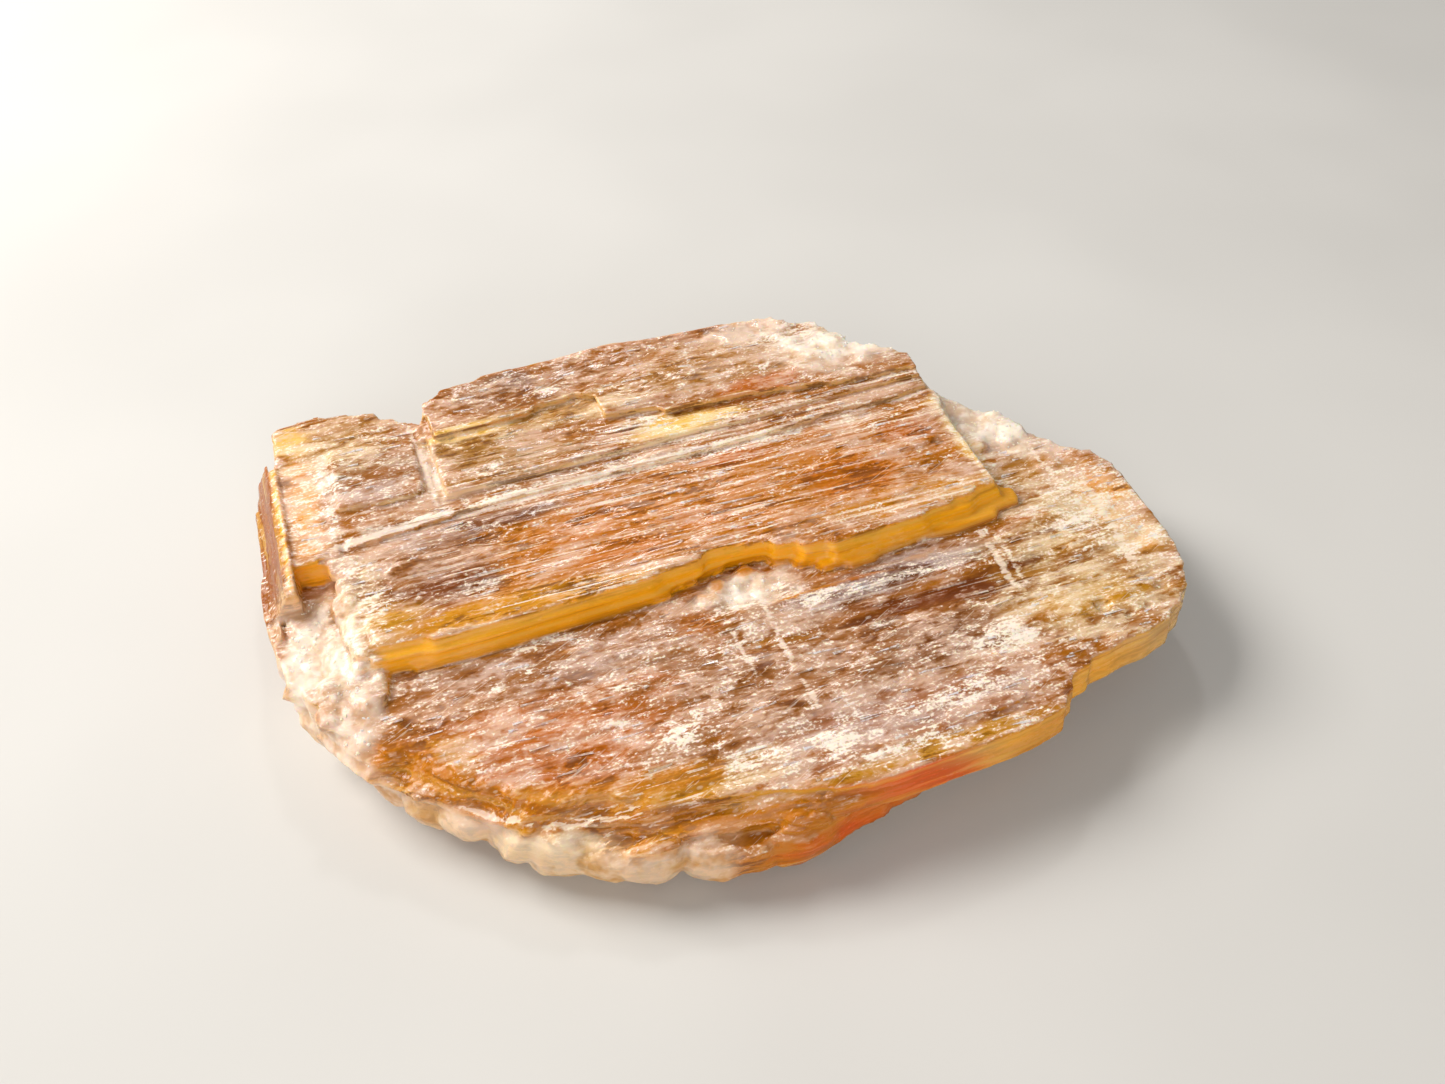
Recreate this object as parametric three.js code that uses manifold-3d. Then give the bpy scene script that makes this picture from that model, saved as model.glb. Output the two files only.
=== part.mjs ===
// A kyanite crystal: a broken tabular plate, 31 mm long, that split along its cleavage.
//
// Millimetres, +Z up. X runs along the crystal's c axis, the direction of its fibres and
// straight ledges. Y runs across the blades. The plate rests on its flat underside at Z = 0, and
// the origin is the centre of its bounding box there.
//
// The whole specimen is one stone. It is made as a stack of thin cleavage laminae with stepped,
// splintery outlines. The small upright blades at the left end, the splinters on the cleavage
// faces and the lumps of pale crust on the rim are joined to it, and fine grooves are cut in it.

import * as THREE from "three";
import { mergeVertices } from "three/addons/utils/BufferGeometryUtils.js";
import Module from "manifold-3d";

const wasm = await Module();
wasm.setup();

// ---------------------------------------------------------------- driving dimensions, mm

// Heights of the cleavage faces above the surface that the stone rests on.
const FOOT_TOP = 1.1;
const SHELF_TOP = 2.1;
const SLAB_TOP = 3.2;
const STEP_TOP = 3.55;
const RISER_TOP = 3.9;
const PLATE_TOP = 4.2;
const BACK_STEP_TOP = 4.4;
const BACK_PLATE_TOP = 4.6;
const BACK_CAP_TOP = 4.85;
const LOBE_TOP = 4.45;
const FLAKE = 0.15;

const JOIN = 0.12; // how far each lamina reaches down into the one below
const LEAN = 0.14; // sideways shift of a side face per mm of height: the cleavages aren't square

// ---------------------------------------------------------------- small helpers

// Repeatable random numbers from 0 to 1.
function randomFrom(seed) {
  let state = seed;
  return () => {
    state = (state + 0x6d2b79f5) | 0;
    let mixed = Math.imul(state ^ (state >>> 15), 1 | state);
    mixed = (mixed + Math.imul(mixed ^ (mixed >>> 7), 61 | mixed)) ^ mixed;
    return ((mixed ^ (mixed >>> 14)) >>> 0) / 4294967296;
  };
}

const between = (random, low, high) => low + (high - low) * random();

// A closed three.js geometry as a manifold-3d solid.
function solidOf(geometry) {
  geometry.deleteAttribute("normal");
  geometry.deleteAttribute("uv");
  const merged = mergeVertices(geometry, 1e-4);
  return new wasm.Manifold(
    new wasm.Mesh({
      numProp: 3,
      vertProperties: new Float32Array(merged.attributes.position.array),
      triVerts: new Uint32Array(merged.index.array),
    }),
  );
}

// A manifold-3d solid as a flat-shaded three.js geometry.
function geometryOf(solid) {
  const mesh = solid.getMesh();
  const geometry = new THREE.BufferGeometry();
  geometry.setAttribute("position", new THREE.BufferAttribute(mesh.vertProperties, 3));
  geometry.setIndex(new THREE.BufferAttribute(mesh.triVerts, 1));
  const faceted = geometry.toNonIndexed();
  faceted.computeVertexNormals();
  return faceted;
}

// A broken edge runs in short ledges along X, joined by short steps across. Each side of an
// outline is split into pieces about `tread` long; `ledge` says how far a piece turns from
// a straight line (0) towards a square step (1).
function brokenEdge(corners, { tread, ledge, jitter, seed }) {
  const random = randomFrom(seed);
  const outline = [];
  corners.forEach(([x, y], i) => {
    const [nextX, nextY] = corners[(i + 1) % corners.length];
    const pieces = Math.max(1, Math.round(Math.hypot(nextX - x, nextY - y) / tread));
    const across = (nextY - y) / pieces;
    for (let piece = 0; piece < pieces; piece++) {
      const wobble = piece === 0 ? 0 : between(random, -jitter, jitter);
      const fromX = x + ((nextX - x) * piece) / pieces;
      const fromY = y + across * piece + wobble;
      outline.push(new THREE.Vector2(fromX, fromY));
      const share = between(random, 0.35, 0.75);
      const stepX = fromX + ((nextX - x) / pieces) * (share + (1 - share) * ledge);
      const stepY = fromY + (across - wobble) * share * (1 - ledge);
      const isWide = Math.abs(across) > 0.15 && Math.abs(nextX - x) / pieces > 0.15;
      if (isWide) outline.push(new THREE.Vector2(stepX, stepY));
    }
  });
  return outline;
}

// One cleavage lamina: its outline holds at its top, and its side faces lean.
function lamina({ corners, bottom, top, tread = 1.5, ledge = 0.6, jitter = 0.07, seed }) {
  const outline = brokenEdge(corners, { tread, ledge, jitter, seed });
  const geometry = new THREE.ExtrudeGeometry(new THREE.Shape(outline), {
    depth: top - bottom + JOIN,
    bevelEnabled: false,
  });
  geometry.translate(0, 0, bottom - JOIN);
  const lean = new THREE.Matrix4().set(
    1, 0, 0, 0,
    0, 1, LEAN, -LEAN * top,
    0, 0, 1, 0,
    0, 0, 0, 1,
  );
  return solidOf(geometry.applyMatrix4(lean));
}

// ---------------------------------------------------------------- the laminae, bottom to top

// The foot: the stone touches its surface over this patch only, and overhangs it on the right.
const FOOT = [
  [-12.2, -3.2], [-10.8, -5.5], [-8.9, -7.3], [-6.6, -8.7], [-3.6, -9.3], [-0.6, -9.1],
  [2.4, -8.3], [5.0, -6.7], [6.9, -4.1], [7.5, -1.0], [7.1, 2.1], [5.6, 5.0], [3.3, 7.6],
  [-0.5, 8.9], [-4.5, 9.0], [-8.5, 8.1], [-11.4, 8.5], [-13.2, 6.6], [-13.9, 3.0], [-13.6, -0.5],
];

// The shelf: wider, with the swelling front rim.
const SHELF = [
  [-13.0, -3.6], [-11.6, -5.6], [-10.0, -7.3], [-8.1, -8.7], [-6.2, -9.5], [-4.5, -9.9],
  [-2.9, -10.4], [-1.3, -10.7], [0.5, -10.4], [3.2, -9.8], [6.0, -9.1], [8.6, -7.8],
  [10.6, -6.0], [12.0, -4.0], [12.6, -1.5], [12.1, 1.0], [10.6, 3.6], [9.0, 6.1], [7.1, 8.6],
  [4.0, 10.0], [0.0, 10.5], [-4.0, 10.2], [-8.2, 9.1], [-11.5, 10.2], [-13.5, 9.4],
  [-14.4, 6.5], [-14.9, 3.0], [-14.9, 0.5], [-14.3, -1.8],
];

// The slab: the whole plan of the crystal. Its top is the broad front terrace.
const SLAB = [
  [-15.1, 5.1], [-15.4, 3.7], [-15.4, 2.4], [-15.2, 0.6], [-15.0, -0.7], [-14.5, -1.6],
  [-14.1, -2.3], [-13.8, -3.1], [-13.2, -3.9], [-11.8, -4.7], [-10.6, -5.9], [-9.1, -7.1],
  [-7.3, -7.9], [-5.2, -8.7], [-4.1, -8.9], [-2.7, -9.4], [-1.2, -9.9], [-0.2, -10.25],
  [1.9, -10.45], [3.9, -10.35], [5.9, -10.25], [7.4, -10.0], [8.1, -9.5], [8.6, -8.9],
  [9.6, -8.5], [11.0, -8.25], [12.2, -8.1], [13.2, -7.6], [14.0, -7.0], [14.7, -6.1],
  [15.1, -5.2], [15.3, -3.9], [15.4, -1.9], [15.4, -0.4], [15.1, 0.5], [14.5, 0.8],
  [13.9, 1.6], [13.5, 2.1], [13.0, 2.8], [12.9, 3.4], [12.3, 4.1], [11.7, 4.6], [11.2, 5.7],
  [10.6, 6.7], [9.6, 7.6], [8.4, 8.6], [7.9, 9.7], [6.7, 10.1], [5.9, 10.7], [3.2, 10.95],
  [-0.7, 11.05], [-4.5, 10.8], [-6.5, 10.5], [-8.0, 9.9], [-8.9, 9.2], [-9.6, 9.8],
  [-10.4, 10.4], [-11.3, 10.8], [-12.3, 11.0], [-13.2, 10.8], [-14.1, 10.4], [-14.3, 9.0],
  [-14.9, 8.8], [-15.1, 7.5],
];

// The back rim that every upper lamina follows, from the right end to the notch at the lobe;
// each lamina breaks off a little further out or in than the next.
const BACK_RIM = [
  [10.1, 6.5], [9.7, 7.1], [9.1, 7.5], [8.5, 7.9], [7.9, 8.4], [7.7, 9.3], [7.5, 9.75],
  [6.6, 9.85], [6.3, 10.2], [5.9, 10.55], [4.6, 10.7], [3.1, 10.8], [1.2, 10.8], [-0.7, 10.95],
  [-4.5, 10.7], [-6.4, 10.4], [-7.9, 9.9], [-8.6, 9.3],
];

function backRim(out) {
  return BACK_RIM.map(([x, y]) => [x + out / 2, y + out]);
}

// The lobe at the left end, from the notch round to the small block.
const LOBE_RIM = [
  [-9.1, 9.4], [-9.6, 9.75], [-10.3, 10.3], [-11.3, 10.7], [-12.3, 10.9], [-13.2, 10.75],
  [-14.05, 10.35], [-14.1, 8.8],
];

// The step at the foot of the riser, with the bay in its front edge.
const STEP = [
  [-12.4, -1.45], [-11.0, -1.7], [-9.3, -1.75], [-6.2, -1.6], [-4.2, -1.5], [-3.2, -1.45],
  [-2.2, -1.15], [-1.3, -0.9], [-0.2, -0.65], [0.7, -0.75], [1.4, -1.15], [2.1, -1.6],
  [2.9, -2.05], [3.9, -2.25], [5.0, -2.05], [6.0, -1.95], [6.9, -1.8], [8.0, -1.95],
  [9.0, -1.85], [10.0, -1.45], [11.0, -1.15], [11.0, -0.6], [10.6, -0.4], [10.55, 3.6],
  [10.8, 4.6], [10.6, 5.6],
  ...backRim(0.1), ...LOBE_RIM,
  [-14.1, 3.1], [-12.7, 3.0], [-12.6, 1.5], [-12.7, -0.3],
];

const RISER = [
  [-12.3, -1.4], [-10.3, -1.6], [-8.3, -1.55], [-6.4, -1.45], [-4.4, -1.35], [-2.5, -1.1],
  [-0.9, -0.7], [0.5, -0.7], [1.5, -1.1], [2.4, -1.6], [3.4, -1.95], [5.4, -1.8], [7.3, -1.5],
  [9.3, -1.15], [10.3, -1.0], [10.4, 3.7], [10.7, 4.6], [10.4, 5.5],
  ...backRim(-0.22), ...LOBE_RIM,
  [-14.1, 3.15], [-12.75, 3.05], [-12.4, 2.4], [-12.5, 0.4],
];

// The raised plate, square at its right end.
const PLATE = [
  [-12.1, -1.0], [-10.3, -1.3], [-8.3, -1.25], [-6.4, -1.2], [-4.4, -1.1], [-2.5, -0.9],
  [-0.8, -0.5], [0.5, -0.65], [1.5, -1.05], [2.4, -1.4], [3.4, -1.65], [5.4, -1.5],
  [7.3, -1.25], [8.3, -1.05], [9.3, -0.85], [10.15, -0.75], [10.2, 3.7], [10.5, 4.6],
  [10.3, 5.4],
  ...backRim(0.06), ...LOBE_RIM,
  [-14.1, 3.2], [-12.75, 3.15], [-12.3, 2.2], [-12.3, 0.6],
];

const BACK_STEP = [
  [-12.3, 3.6], [-8.4, 4.1], [-4.5, 4.1], [0.0, 4.25], [3.8, 4.4], [7.3, 4.65], [9.7, 4.85],
  [10.2, 5.0], [10.2, 5.5],
  ...backRim(-0.12), [-8.7, 8.4], [-8.8, 5.2], [-12.2, 4.6],
];

const BACK_PLATE = [
  [-8.6, 4.75], [-4.5, 4.8], [0.0, 5.05], [3.0, 5.1], [6.5, 5.3], [9.6, 5.35], [10.1, 5.3],
  ...backRim(-0.25), [-8.65, 8.4],
];

const BACK_CAP = [
  [-8.4, 7.8], [-6.5, 7.85], [-4.5, 8.2], [-3.0, 8.4], [-2.2, 6.9], [0.0, 6.45], [2.5, 6.4],
  [5.0, 6.1], [6.5, 5.8], [8.6, 5.75], [10.05, 5.5],
  ...backRim(0),
];

// The lobe, with a thin lamina that splits off it.
const LOBE = [
  ...LOBE_RIM, [-14.1, 8.6], [-12.7, 8.5], [-12.6, 4.2], [-9.0, 4.0], [-8.95, 9.3],
];

const LOBE_FLAKE = [
  [-12.3, 5.3], [-11.0, 5.1], [-9.3, 5.3], [-9.2, 8.2], [-10.4, 8.6], [-12.2, 8.6],
];

const laminae = [
  lamina({ corners: FOOT, bottom: JOIN, top: FOOT_TOP, tread: 1.6, ledge: 0.3, jitter: 0.15, seed: 11 }),
  lamina({ corners: SHELF, bottom: FOOT_TOP, top: SHELF_TOP, tread: 1.4, ledge: 0.3, seed: 12 }),
  lamina({ corners: SLAB, bottom: SHELF_TOP, top: SLAB_TOP, tread: 0.9, ledge: 0.35, seed: 13 }),
  lamina({ corners: STEP, bottom: SLAB_TOP, top: STEP_TOP, seed: 14 }),
  lamina({ corners: RISER, bottom: STEP_TOP, top: RISER_TOP, seed: 15 }),
  lamina({ corners: PLATE, bottom: RISER_TOP, top: PLATE_TOP, seed: 16 }),
  lamina({ corners: BACK_STEP, bottom: PLATE_TOP, top: BACK_STEP_TOP, seed: 17 }),
  lamina({ corners: BACK_PLATE, bottom: BACK_STEP_TOP, top: BACK_PLATE_TOP, seed: 18 }),
  lamina({ corners: BACK_CAP, bottom: BACK_PLATE_TOP, top: BACK_CAP_TOP, seed: 19 }),
  lamina({ corners: LOBE, bottom: PLATE_TOP, top: LOBE_TOP, seed: 20 }),
  lamina({ corners: LOBE_FLAKE, bottom: LOBE_TOP, top: LOBE_TOP + FLAKE, seed: 21 }),
];

// The front-left rim slopes down in two amber ledges, from the terrace to the top of the crust.
const TERRACE_EDGE = [
  [-14.1, -2.3], [-13.2, -3.9], [-11.8, -4.7], [-10.6, -5.9], [-9.1, -7.1], [-7.3, -7.9],
  [-5.2, -8.7], [-4.1, -8.9], [-2.7, -9.4], [-1.2, -9.9], [0.3, -10.2],
];
const CRUST_EDGE = [
  [-14.3, -2.6], [-13.5, -4.2], [-12.4, -5.5], [-11.1, -6.6], [-9.6, -7.8], [-7.9, -8.6],
  [-6.0, -9.4], [-4.7, -9.9], [-3.0, -10.2], [-1.3, -10.4], [0.4, -10.5],
];
const RIM_DROP = 0.75;
const RIM_SLOPE = 0.3;

function rimLedge(share, seed) {
  const corners = TERRACE_EDGE.map(([x, y], i) => [
    x + (CRUST_EDGE[i][0] - x) * share,
    y + (CRUST_EDGE[i][1] - y) * share,
  ]);
  corners.push([-2.0, -7.5], [-9.0, -4.0], [-12.5, -1.5]);
  const outline = brokenEdge(corners, { tread: 0.8, ledge: 0, jitter: 0.09, seed });
  const top = SLAB_TOP - RIM_DROP * share;
  const geometry = new THREE.ExtrudeGeometry(new THREE.Shape(outline), {
    depth: 0.2,
    bevelThickness: RIM_SLOPE,
    bevelSize: RIM_SLOPE,
    bevelOffset: -0.1,
    bevelSegments: 1,
  });
  geometry.translate(0, 0, top - 0.2 - RIM_SLOPE);
  return solidOf(geometry);
}

const rimLedges = [rimLedge(0.15, 31), rimLedge(0.65, 32)];

// ---------------------------------------------------------------- the small blades at the left

// A blade stands on the slab beside the lobe; its top slopes down to the left.
function blade({ left, right, front, back, topLeft, topRight }) {
  const foot = SLAB_TOP - 0.8;
  const end = new THREE.Shape();
  end.moveTo(left - 0.1, foot);
  end.lineTo(right + 0.1, foot);
  end.lineTo(right, topRight);
  end.lineTo(left, topLeft);
  const geometry = new THREE.ExtrudeGeometry(end, { depth: back - front, bevelEnabled: false });
  geometry.rotateX(Math.PI / 2);
  geometry.translate(0, back, 0);
  return solidOf(geometry);
}

const blades = [
  blade({ left: -14.08, right: -13.3, front: 3.2, back: 8.9, topLeft: 4.3, topRight: 4.34 }),
  blade({ left: -13.4, right: -12.75, front: 3.5, back: 8.6, topLeft: 4.26, topRight: 4.2 }),
  blade({ left: -14.3, right: -14.1, front: 1.9, back: 8.4, topLeft: 4.45, topRight: 4.5 }),
  blade({ left: -14.95, right: -14.42, front: 1.9, back: 8.8, topLeft: 3.45, topRight: 4.4 }),
  blade({ left: -15.2, right: -14.9, front: 1.1, back: 7.6, topLeft: 3.2, topRight: 3.5 }),
];

// ---------------------------------------------------------------- the crust

// A lump of crust: a ball with its skin pushed in and out, stretched to its three radii and
// turned about the upright.
function lump([x, y, z], [rx, ry, rz], turn, detail, seed) {
  const random = randomFrom(seed);
  const ball = new THREE.IcosahedronGeometry(1, detail);
  ball.deleteAttribute("normal");
  ball.deleteAttribute("uv");
  const geometry = mergeVertices(ball, 1e-4);
  geometry.rotateZ(between(random, 0, Math.PI));
  const skin = geometry.attributes.position;
  for (let i = 0; i < skin.count; i++) {
    const reach = between(random, 0.84, 1.12);
    skin.setXYZ(i, skin.getX(i) * reach, skin.getY(i) * reach, skin.getZ(i) * reach);
  }
  geometry.scale(rx, ry, rz);
  geometry.rotateZ(turn);
  geometry.translate(x, y, z);
  return solidOf(geometry);
}

// Long pillows of crust follow the swelling rim from the left end to the middle of the front.
const crustPath = new THREE.CatmullRomCurve3(
  [
    [-14.3, 1.2, 1.9], [-14.0, -0.5, 1.7], [-13.3, -2.1, 1.65], [-12.2, -3.9, 1.55],
    [-10.7, -6.0, 1.5], [-9.2, -7.4, 1.4], [-7.7, -8.5, 1.35], [-6.0, -9.3, 1.3],
    [-4.4, -9.8, 1.25], [-2.9, -10.2, 1.3], [-1.4, -10.35, 1.35],
  ].map((point) => new THREE.Vector3(...point)),
);
const PILLOWS = 14;

const crust = [];
const crustRandom = randomFrom(41);
for (let i = 0; i < PILLOWS; i++) {
  const share = (i + between(crustRandom, -0.25, 0.25)) / (PILLOWS - 1);
  const along = Math.min(Math.max(share, 0), 1);
  const { x, y, z } = crustPath.getPointAt(along);
  const heading = crustPath.getTangentAt(along);
  const across = between(crustRandom, 0.85, 1.1) * (1 - 0.25 * along ** 3);
  const long = between(crustRandom, 1.1, 1.7);
  const tall = Math.min(between(crustRandom, 1.0, 1.25), z - 0.12);
  crust.push(lump([x, y, z], [long, across, tall], Math.atan2(heading.y, heading.x), 1, 100 + i));
}

// Patches of smaller lumps: on the left end, on the right-hand rim, on the back corner, in
// the bay of the riser and under the back rim.
const crustPatches = [
  { count: 7, x: [-14.5, -13.7], y: [-1.2, 2.2], z: [2.2, 2.8], radius: [0.6, 0.9], flat: 0.8 },
  { count: 18, x: [-14.1, -12.4], y: [-2.6, 2.9], z: [3.1, 3.3], radius: [0.35, 0.7], flat: 0.5 },
  { count: 8, x: [10.9, 12.9], y: [1.8, 3.9], z: [3.1, 3.25], radius: [0.5, 0.9], flat: 0.4 },
  { count: 5, x: [12.6, 14.0], y: [0.2, 1.2], z: [3.0, 3.15], radius: [0.35, 0.6], flat: 0.4 },
  { count: 6, x: [6.2, 7.4], y: [7.0, 8.7], z: [4.75, 4.85], radius: [0.5, 0.9], flat: 0.18 },
  { count: 7, x: [-1.7, 1.9], y: [-2.0, -0.9], z: [3.15, 3.25], radius: [0.3, 0.5], flat: 0.4 },
  { count: 9, x: [-6.5, 5.5], y: [9.5, 10.1], z: [1.3, 2.2], radius: [0.8, 1.1], flat: 0.9 },
];
const lumpPlaces = [];
const patchRandom = randomFrom(42);
crustPatches.forEach(({ count, x, y, z, radius, flat }) => {
  for (let i = 0; i < count; i++) {
    const place = [x, y, z].map(([low, high]) => between(patchRandom, low, high));
    const reach = between(patchRandom, ...radius);
    const turn = between(patchRandom, 0, Math.PI);
    lumpPlaces.push([place, reach]);
    crust.push(lump(place, [reach * 1.25, reach, reach * flat], turn, 0, 200 + crust.length));
  }
});

// ---------------------------------------------------------------- flakes, splinters, grooves

// The flat faces that fine detail sits on, highest first.
const terraces = [
  { corners: BACK_CAP, z: BACK_CAP_TOP },
  { corners: BACK_PLATE, z: BACK_PLATE_TOP },
  { corners: LOBE_FLAKE, z: LOBE_TOP + FLAKE },
  { corners: LOBE, z: LOBE_TOP },
  { corners: BACK_STEP, z: BACK_STEP_TOP },
  { corners: PLATE, z: PLATE_TOP },
  { corners: RISER, z: RISER_TOP },
  { corners: STEP, z: STEP_TOP },
  { corners: SLAB, z: SLAB_TOP },
];
const undersides = [
  { corners: FOOT, z: 0 },
  { corners: SHELF, z: FOOT_TOP - JOIN },
  { corners: SLAB, z: SHELF_TOP - JOIN },
];

// True where a vertical line through x, y meets the lamina.
function isInside(corners, x, y) {
  let inside = false;
  corners.forEach(([ax, ay], i) => {
    const [bx, by] = corners[(i + 1) % corners.length];
    const crosses = ay > y !== by > y && x < ax + ((bx - ax) * (y - ay)) / (by - ay);
    if (crosses) inside = !inside;
  });
  return inside;
}

function faceAt(faces, x, y) {
  return faces.find(({ corners }) => isInside(corners, x, y));
}

// A spindle lies half sunk in a face, along the fibres: added it is a splinter, cut away it
// is a groove.
function spindle([x, y, z], [length, width, height], turn) {
  const geometry = new THREE.OctahedronGeometry(1, 0);
  geometry.scale(length / 2, width / 2, height);
  geometry.rotateZ(turn);
  geometry.translate(x, y, z);
  return solidOf(geometry);
}

// A flake is a scrap of lamina left on a face, long in X.
const FLAKE_CORNERS = [
  [-0.5, -0.1], [-0.32, -0.46], [0.1, -0.5], [0.38, -0.36], [0.5, 0.06], [0.34, 0.44],
  [-0.12, 0.5], [-0.4, 0.28],
];

function flake([x, y, z], [length, width, height], turn) {
  const outline = FLAKE_CORNERS.map(([i, j]) => new THREE.Vector2(i * length, j * width));
  const geometry = new THREE.ExtrudeGeometry(new THREE.Shape(outline), {
    depth: height + JOIN,
    bevelEnabled: false,
  });
  geometry.rotateZ(turn);
  geometry.translate(x, y, z - JOIN);
  return solidOf(geometry);
}

// The room each lump and spindle takes on its face, so that a spindle crosses nothing else.
const MARGIN = 0.12;
const FIBRE_WANDER = 0.05;
const rooms = lumpPlaces.map(([[x, y], reach]) => {
  return { face: faceAt(terraces, x, y), x, y, reachX: reach * 1.3, reachY: reach * 1.3 };
});

function hasRoom(faces, room) {
  const { face, x, y, reachX, reachY } = room;
  const corners = [[-1, -1], [-1, 1], [1, -1], [1, 1]];
  const isOnFace = corners.every(([i, j]) => faceAt(faces, x + i * reachX, y + j * reachY) === face);
  return isOnFace && rooms.every(
    (other) => other.face !== face
      || Math.abs(other.x - x) > other.reachX + reachX
      || Math.abs(other.y - y) > other.reachY + reachY,
  );
}

// Scatter one kind of detail over the faces of a region; the fibres wander a little from X.
function scatter(shape, { faces, count, x, y, length, width, height, seed }) {
  const random = randomFrom(seed);
  const scattered = [];
  while (scattered.length < count) {
    const place = [between(random, ...x), between(random, ...y)];
    const size = [between(random, ...length), between(random, ...width), between(random, ...height)];
    const turn = between(random, -FIBRE_WANDER, FIBRE_WANDER);
    const face = faceAt(faces, ...place);
    const reachX = size[0] / 2 + MARGIN;
    const reachY = (size[1] + size[0] * FIBRE_WANDER) / 2 + MARGIN / 2;
    const room = { face, x: place[0], y: place[1], reachX, reachY };
    if (!face || !hasRoom(faces, room)) continue;
    rooms.push(room);
    scattered.push(shape([...place, face.z], size, turn));
  }
  return scattered;
}

const FIELD_X = [-12.6, 14.8];
const FRONT_Y = [-9.7, -2.2];
const BACK_Y = [-1.0, 10.2];

const raisedDetail = [
  ...scatter(flake, {
    faces: terraces, count: 9, x: FIELD_X, y: FRONT_Y, seed: 51,
    length: [2.6, 6.5], width: [0.5, 1.0], height: [0.05, 0.1],
  }),
  ...scatter(flake, {
    faces: terraces, count: 6, x: FIELD_X, y: BACK_Y, seed: 52,
    length: [2.6, 6.0], width: [0.4, 0.8], height: [0.04, 0.08],
  }),
  ...scatter(spindle, {
    faces: terraces, count: 42, x: FIELD_X, y: FRONT_Y, seed: 53,
    length: [1.6, 6.5], width: [0.14, 0.34], height: [0.04, 0.1],
  }),
  ...scatter(spindle, {
    faces: terraces, count: 40, x: FIELD_X, y: BACK_Y, seed: 54,
    length: [1.8, 7.0], width: [0.12, 0.3], height: [0.03, 0.08],
  }),
];

const grooves = [
  ...scatter(spindle, {
    faces: terraces, count: 30, x: FIELD_X, y: [-9.4, 9.8], seed: 55,
    length: [1.4, 6.0], width: [0.12, 0.26], height: [0.06, 0.13],
  }),
  ...scatter(spindle, {
    faces: undersides, count: 34, x: [-14, 15], y: [-10, 10], seed: 56,
    length: [1.5, 6.0], width: [0.25, 0.6], height: [0.08, 0.18],
  }),
];

// Cracks run straight across the fibres.
const cracks = [
  [0.3, -4.4, 3.4, SLAB_TOP], [2.0, -4.2, 3.0, SLAB_TOP], [9.2, -3.9, 3.2, SLAB_TOP],
  [9.6, -4.2, 2.8, SLAB_TOP], [13.1, -3.2, 3.6, SLAB_TOP], [-0.3, 9.0, 3.0, BACK_CAP_TOP],
].map(([x, y, length, z]) => spindle([x, y, z + 0.02], [length, 0.14, 0.12], Math.PI / 2 - 0.06));

// Pits where grains have fallen out of the front right-hand corner.
const pitRandom = randomFrom(57);
const pits = [[11.2, -6.6], [11.9, -7.3], [12.6, -7.2], [13.6, -6.5], [10.4, -7.9]].map(
  ([x, y], i) => {
    const reach = between(pitRandom, 0.2, 0.38);
    return lump([x, y, SLAB_TOP + 0.05], [reach * 1.4, reach, reach * 0.8], 0, 0, 300 + i);
  },
);

// ---------------------------------------------------------------- one stone

const raised = [...laminae, ...rimLedges, ...blades, ...crust, ...raisedDetail];
const sunken = [...grooves, ...cracks, ...pits];
const whole = raised.reduce((stone, solid) => stone.add(solid));
const carved = sunken.reduce((stone, solid) => stone.subtract(solid), whole);

// The origin goes to the centre of the plan, on the resting surface.
const geometry = geometryOf(carved);
geometry.computeBoundingBox();
const { min, max } = geometry.boundingBox;
geometry.translate(-(min.x + max.x) / 2, -(min.y + max.y) / 2, -min.z);

const crystal = new THREE.Mesh(
  geometry,
  new THREE.MeshStandardMaterial({ color: 0xb5713f, roughness: 0.45, metalness: 0 }),
);
crystal.name = "kyanite_crystal";

const group = new THREE.Group();
group.name = "kyanite";
group.add(crystal);
export default group;
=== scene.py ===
# %% [markdown]
# # An orange kyanite crystal
#
# Kyanite grows as flat blades that split along two cleavages. This specimen is a broken plate,
# about as long as a thumb joint, made of many thin laminae. Its broad faces are pearly and
# streaked along the blades, its broken edges glow amber where light passes through them, and
# its rim carries a pale, lumpy crust of the rock it grew in. The fixed model gives the form.
# Here we dress it: a finer skin over the same shape, loose slivers and grains, and a material
# that knows where the crystal is orange, mauve, yellow or dusted white.

# %% Load the fixed model
import math
import random

import bmesh
import bpy
import numpy as np
from mathutils import Matrix, Vector, noise
from mathutils.bvhtree import BVHTree


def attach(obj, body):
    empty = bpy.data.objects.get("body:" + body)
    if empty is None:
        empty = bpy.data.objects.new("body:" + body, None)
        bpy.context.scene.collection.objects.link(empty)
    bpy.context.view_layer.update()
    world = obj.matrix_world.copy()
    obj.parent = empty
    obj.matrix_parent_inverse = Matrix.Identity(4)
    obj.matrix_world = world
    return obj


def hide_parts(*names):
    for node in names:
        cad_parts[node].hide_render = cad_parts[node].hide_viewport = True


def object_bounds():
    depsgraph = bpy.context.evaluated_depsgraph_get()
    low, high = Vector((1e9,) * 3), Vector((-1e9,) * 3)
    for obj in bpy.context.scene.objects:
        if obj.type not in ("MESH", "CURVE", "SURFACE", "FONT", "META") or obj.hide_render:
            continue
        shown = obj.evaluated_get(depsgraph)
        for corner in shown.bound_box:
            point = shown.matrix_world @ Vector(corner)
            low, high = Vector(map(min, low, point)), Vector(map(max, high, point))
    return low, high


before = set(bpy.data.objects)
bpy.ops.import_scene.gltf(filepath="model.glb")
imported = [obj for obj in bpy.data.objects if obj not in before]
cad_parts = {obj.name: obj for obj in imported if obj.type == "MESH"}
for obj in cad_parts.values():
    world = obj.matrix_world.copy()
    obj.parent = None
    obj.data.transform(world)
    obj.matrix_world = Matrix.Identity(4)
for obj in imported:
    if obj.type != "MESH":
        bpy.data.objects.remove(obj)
cad_box = [[float(value) for value in corner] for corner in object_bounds()]
MM = 0.001  # the model is in metres; sizes here are written in millimetres
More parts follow.
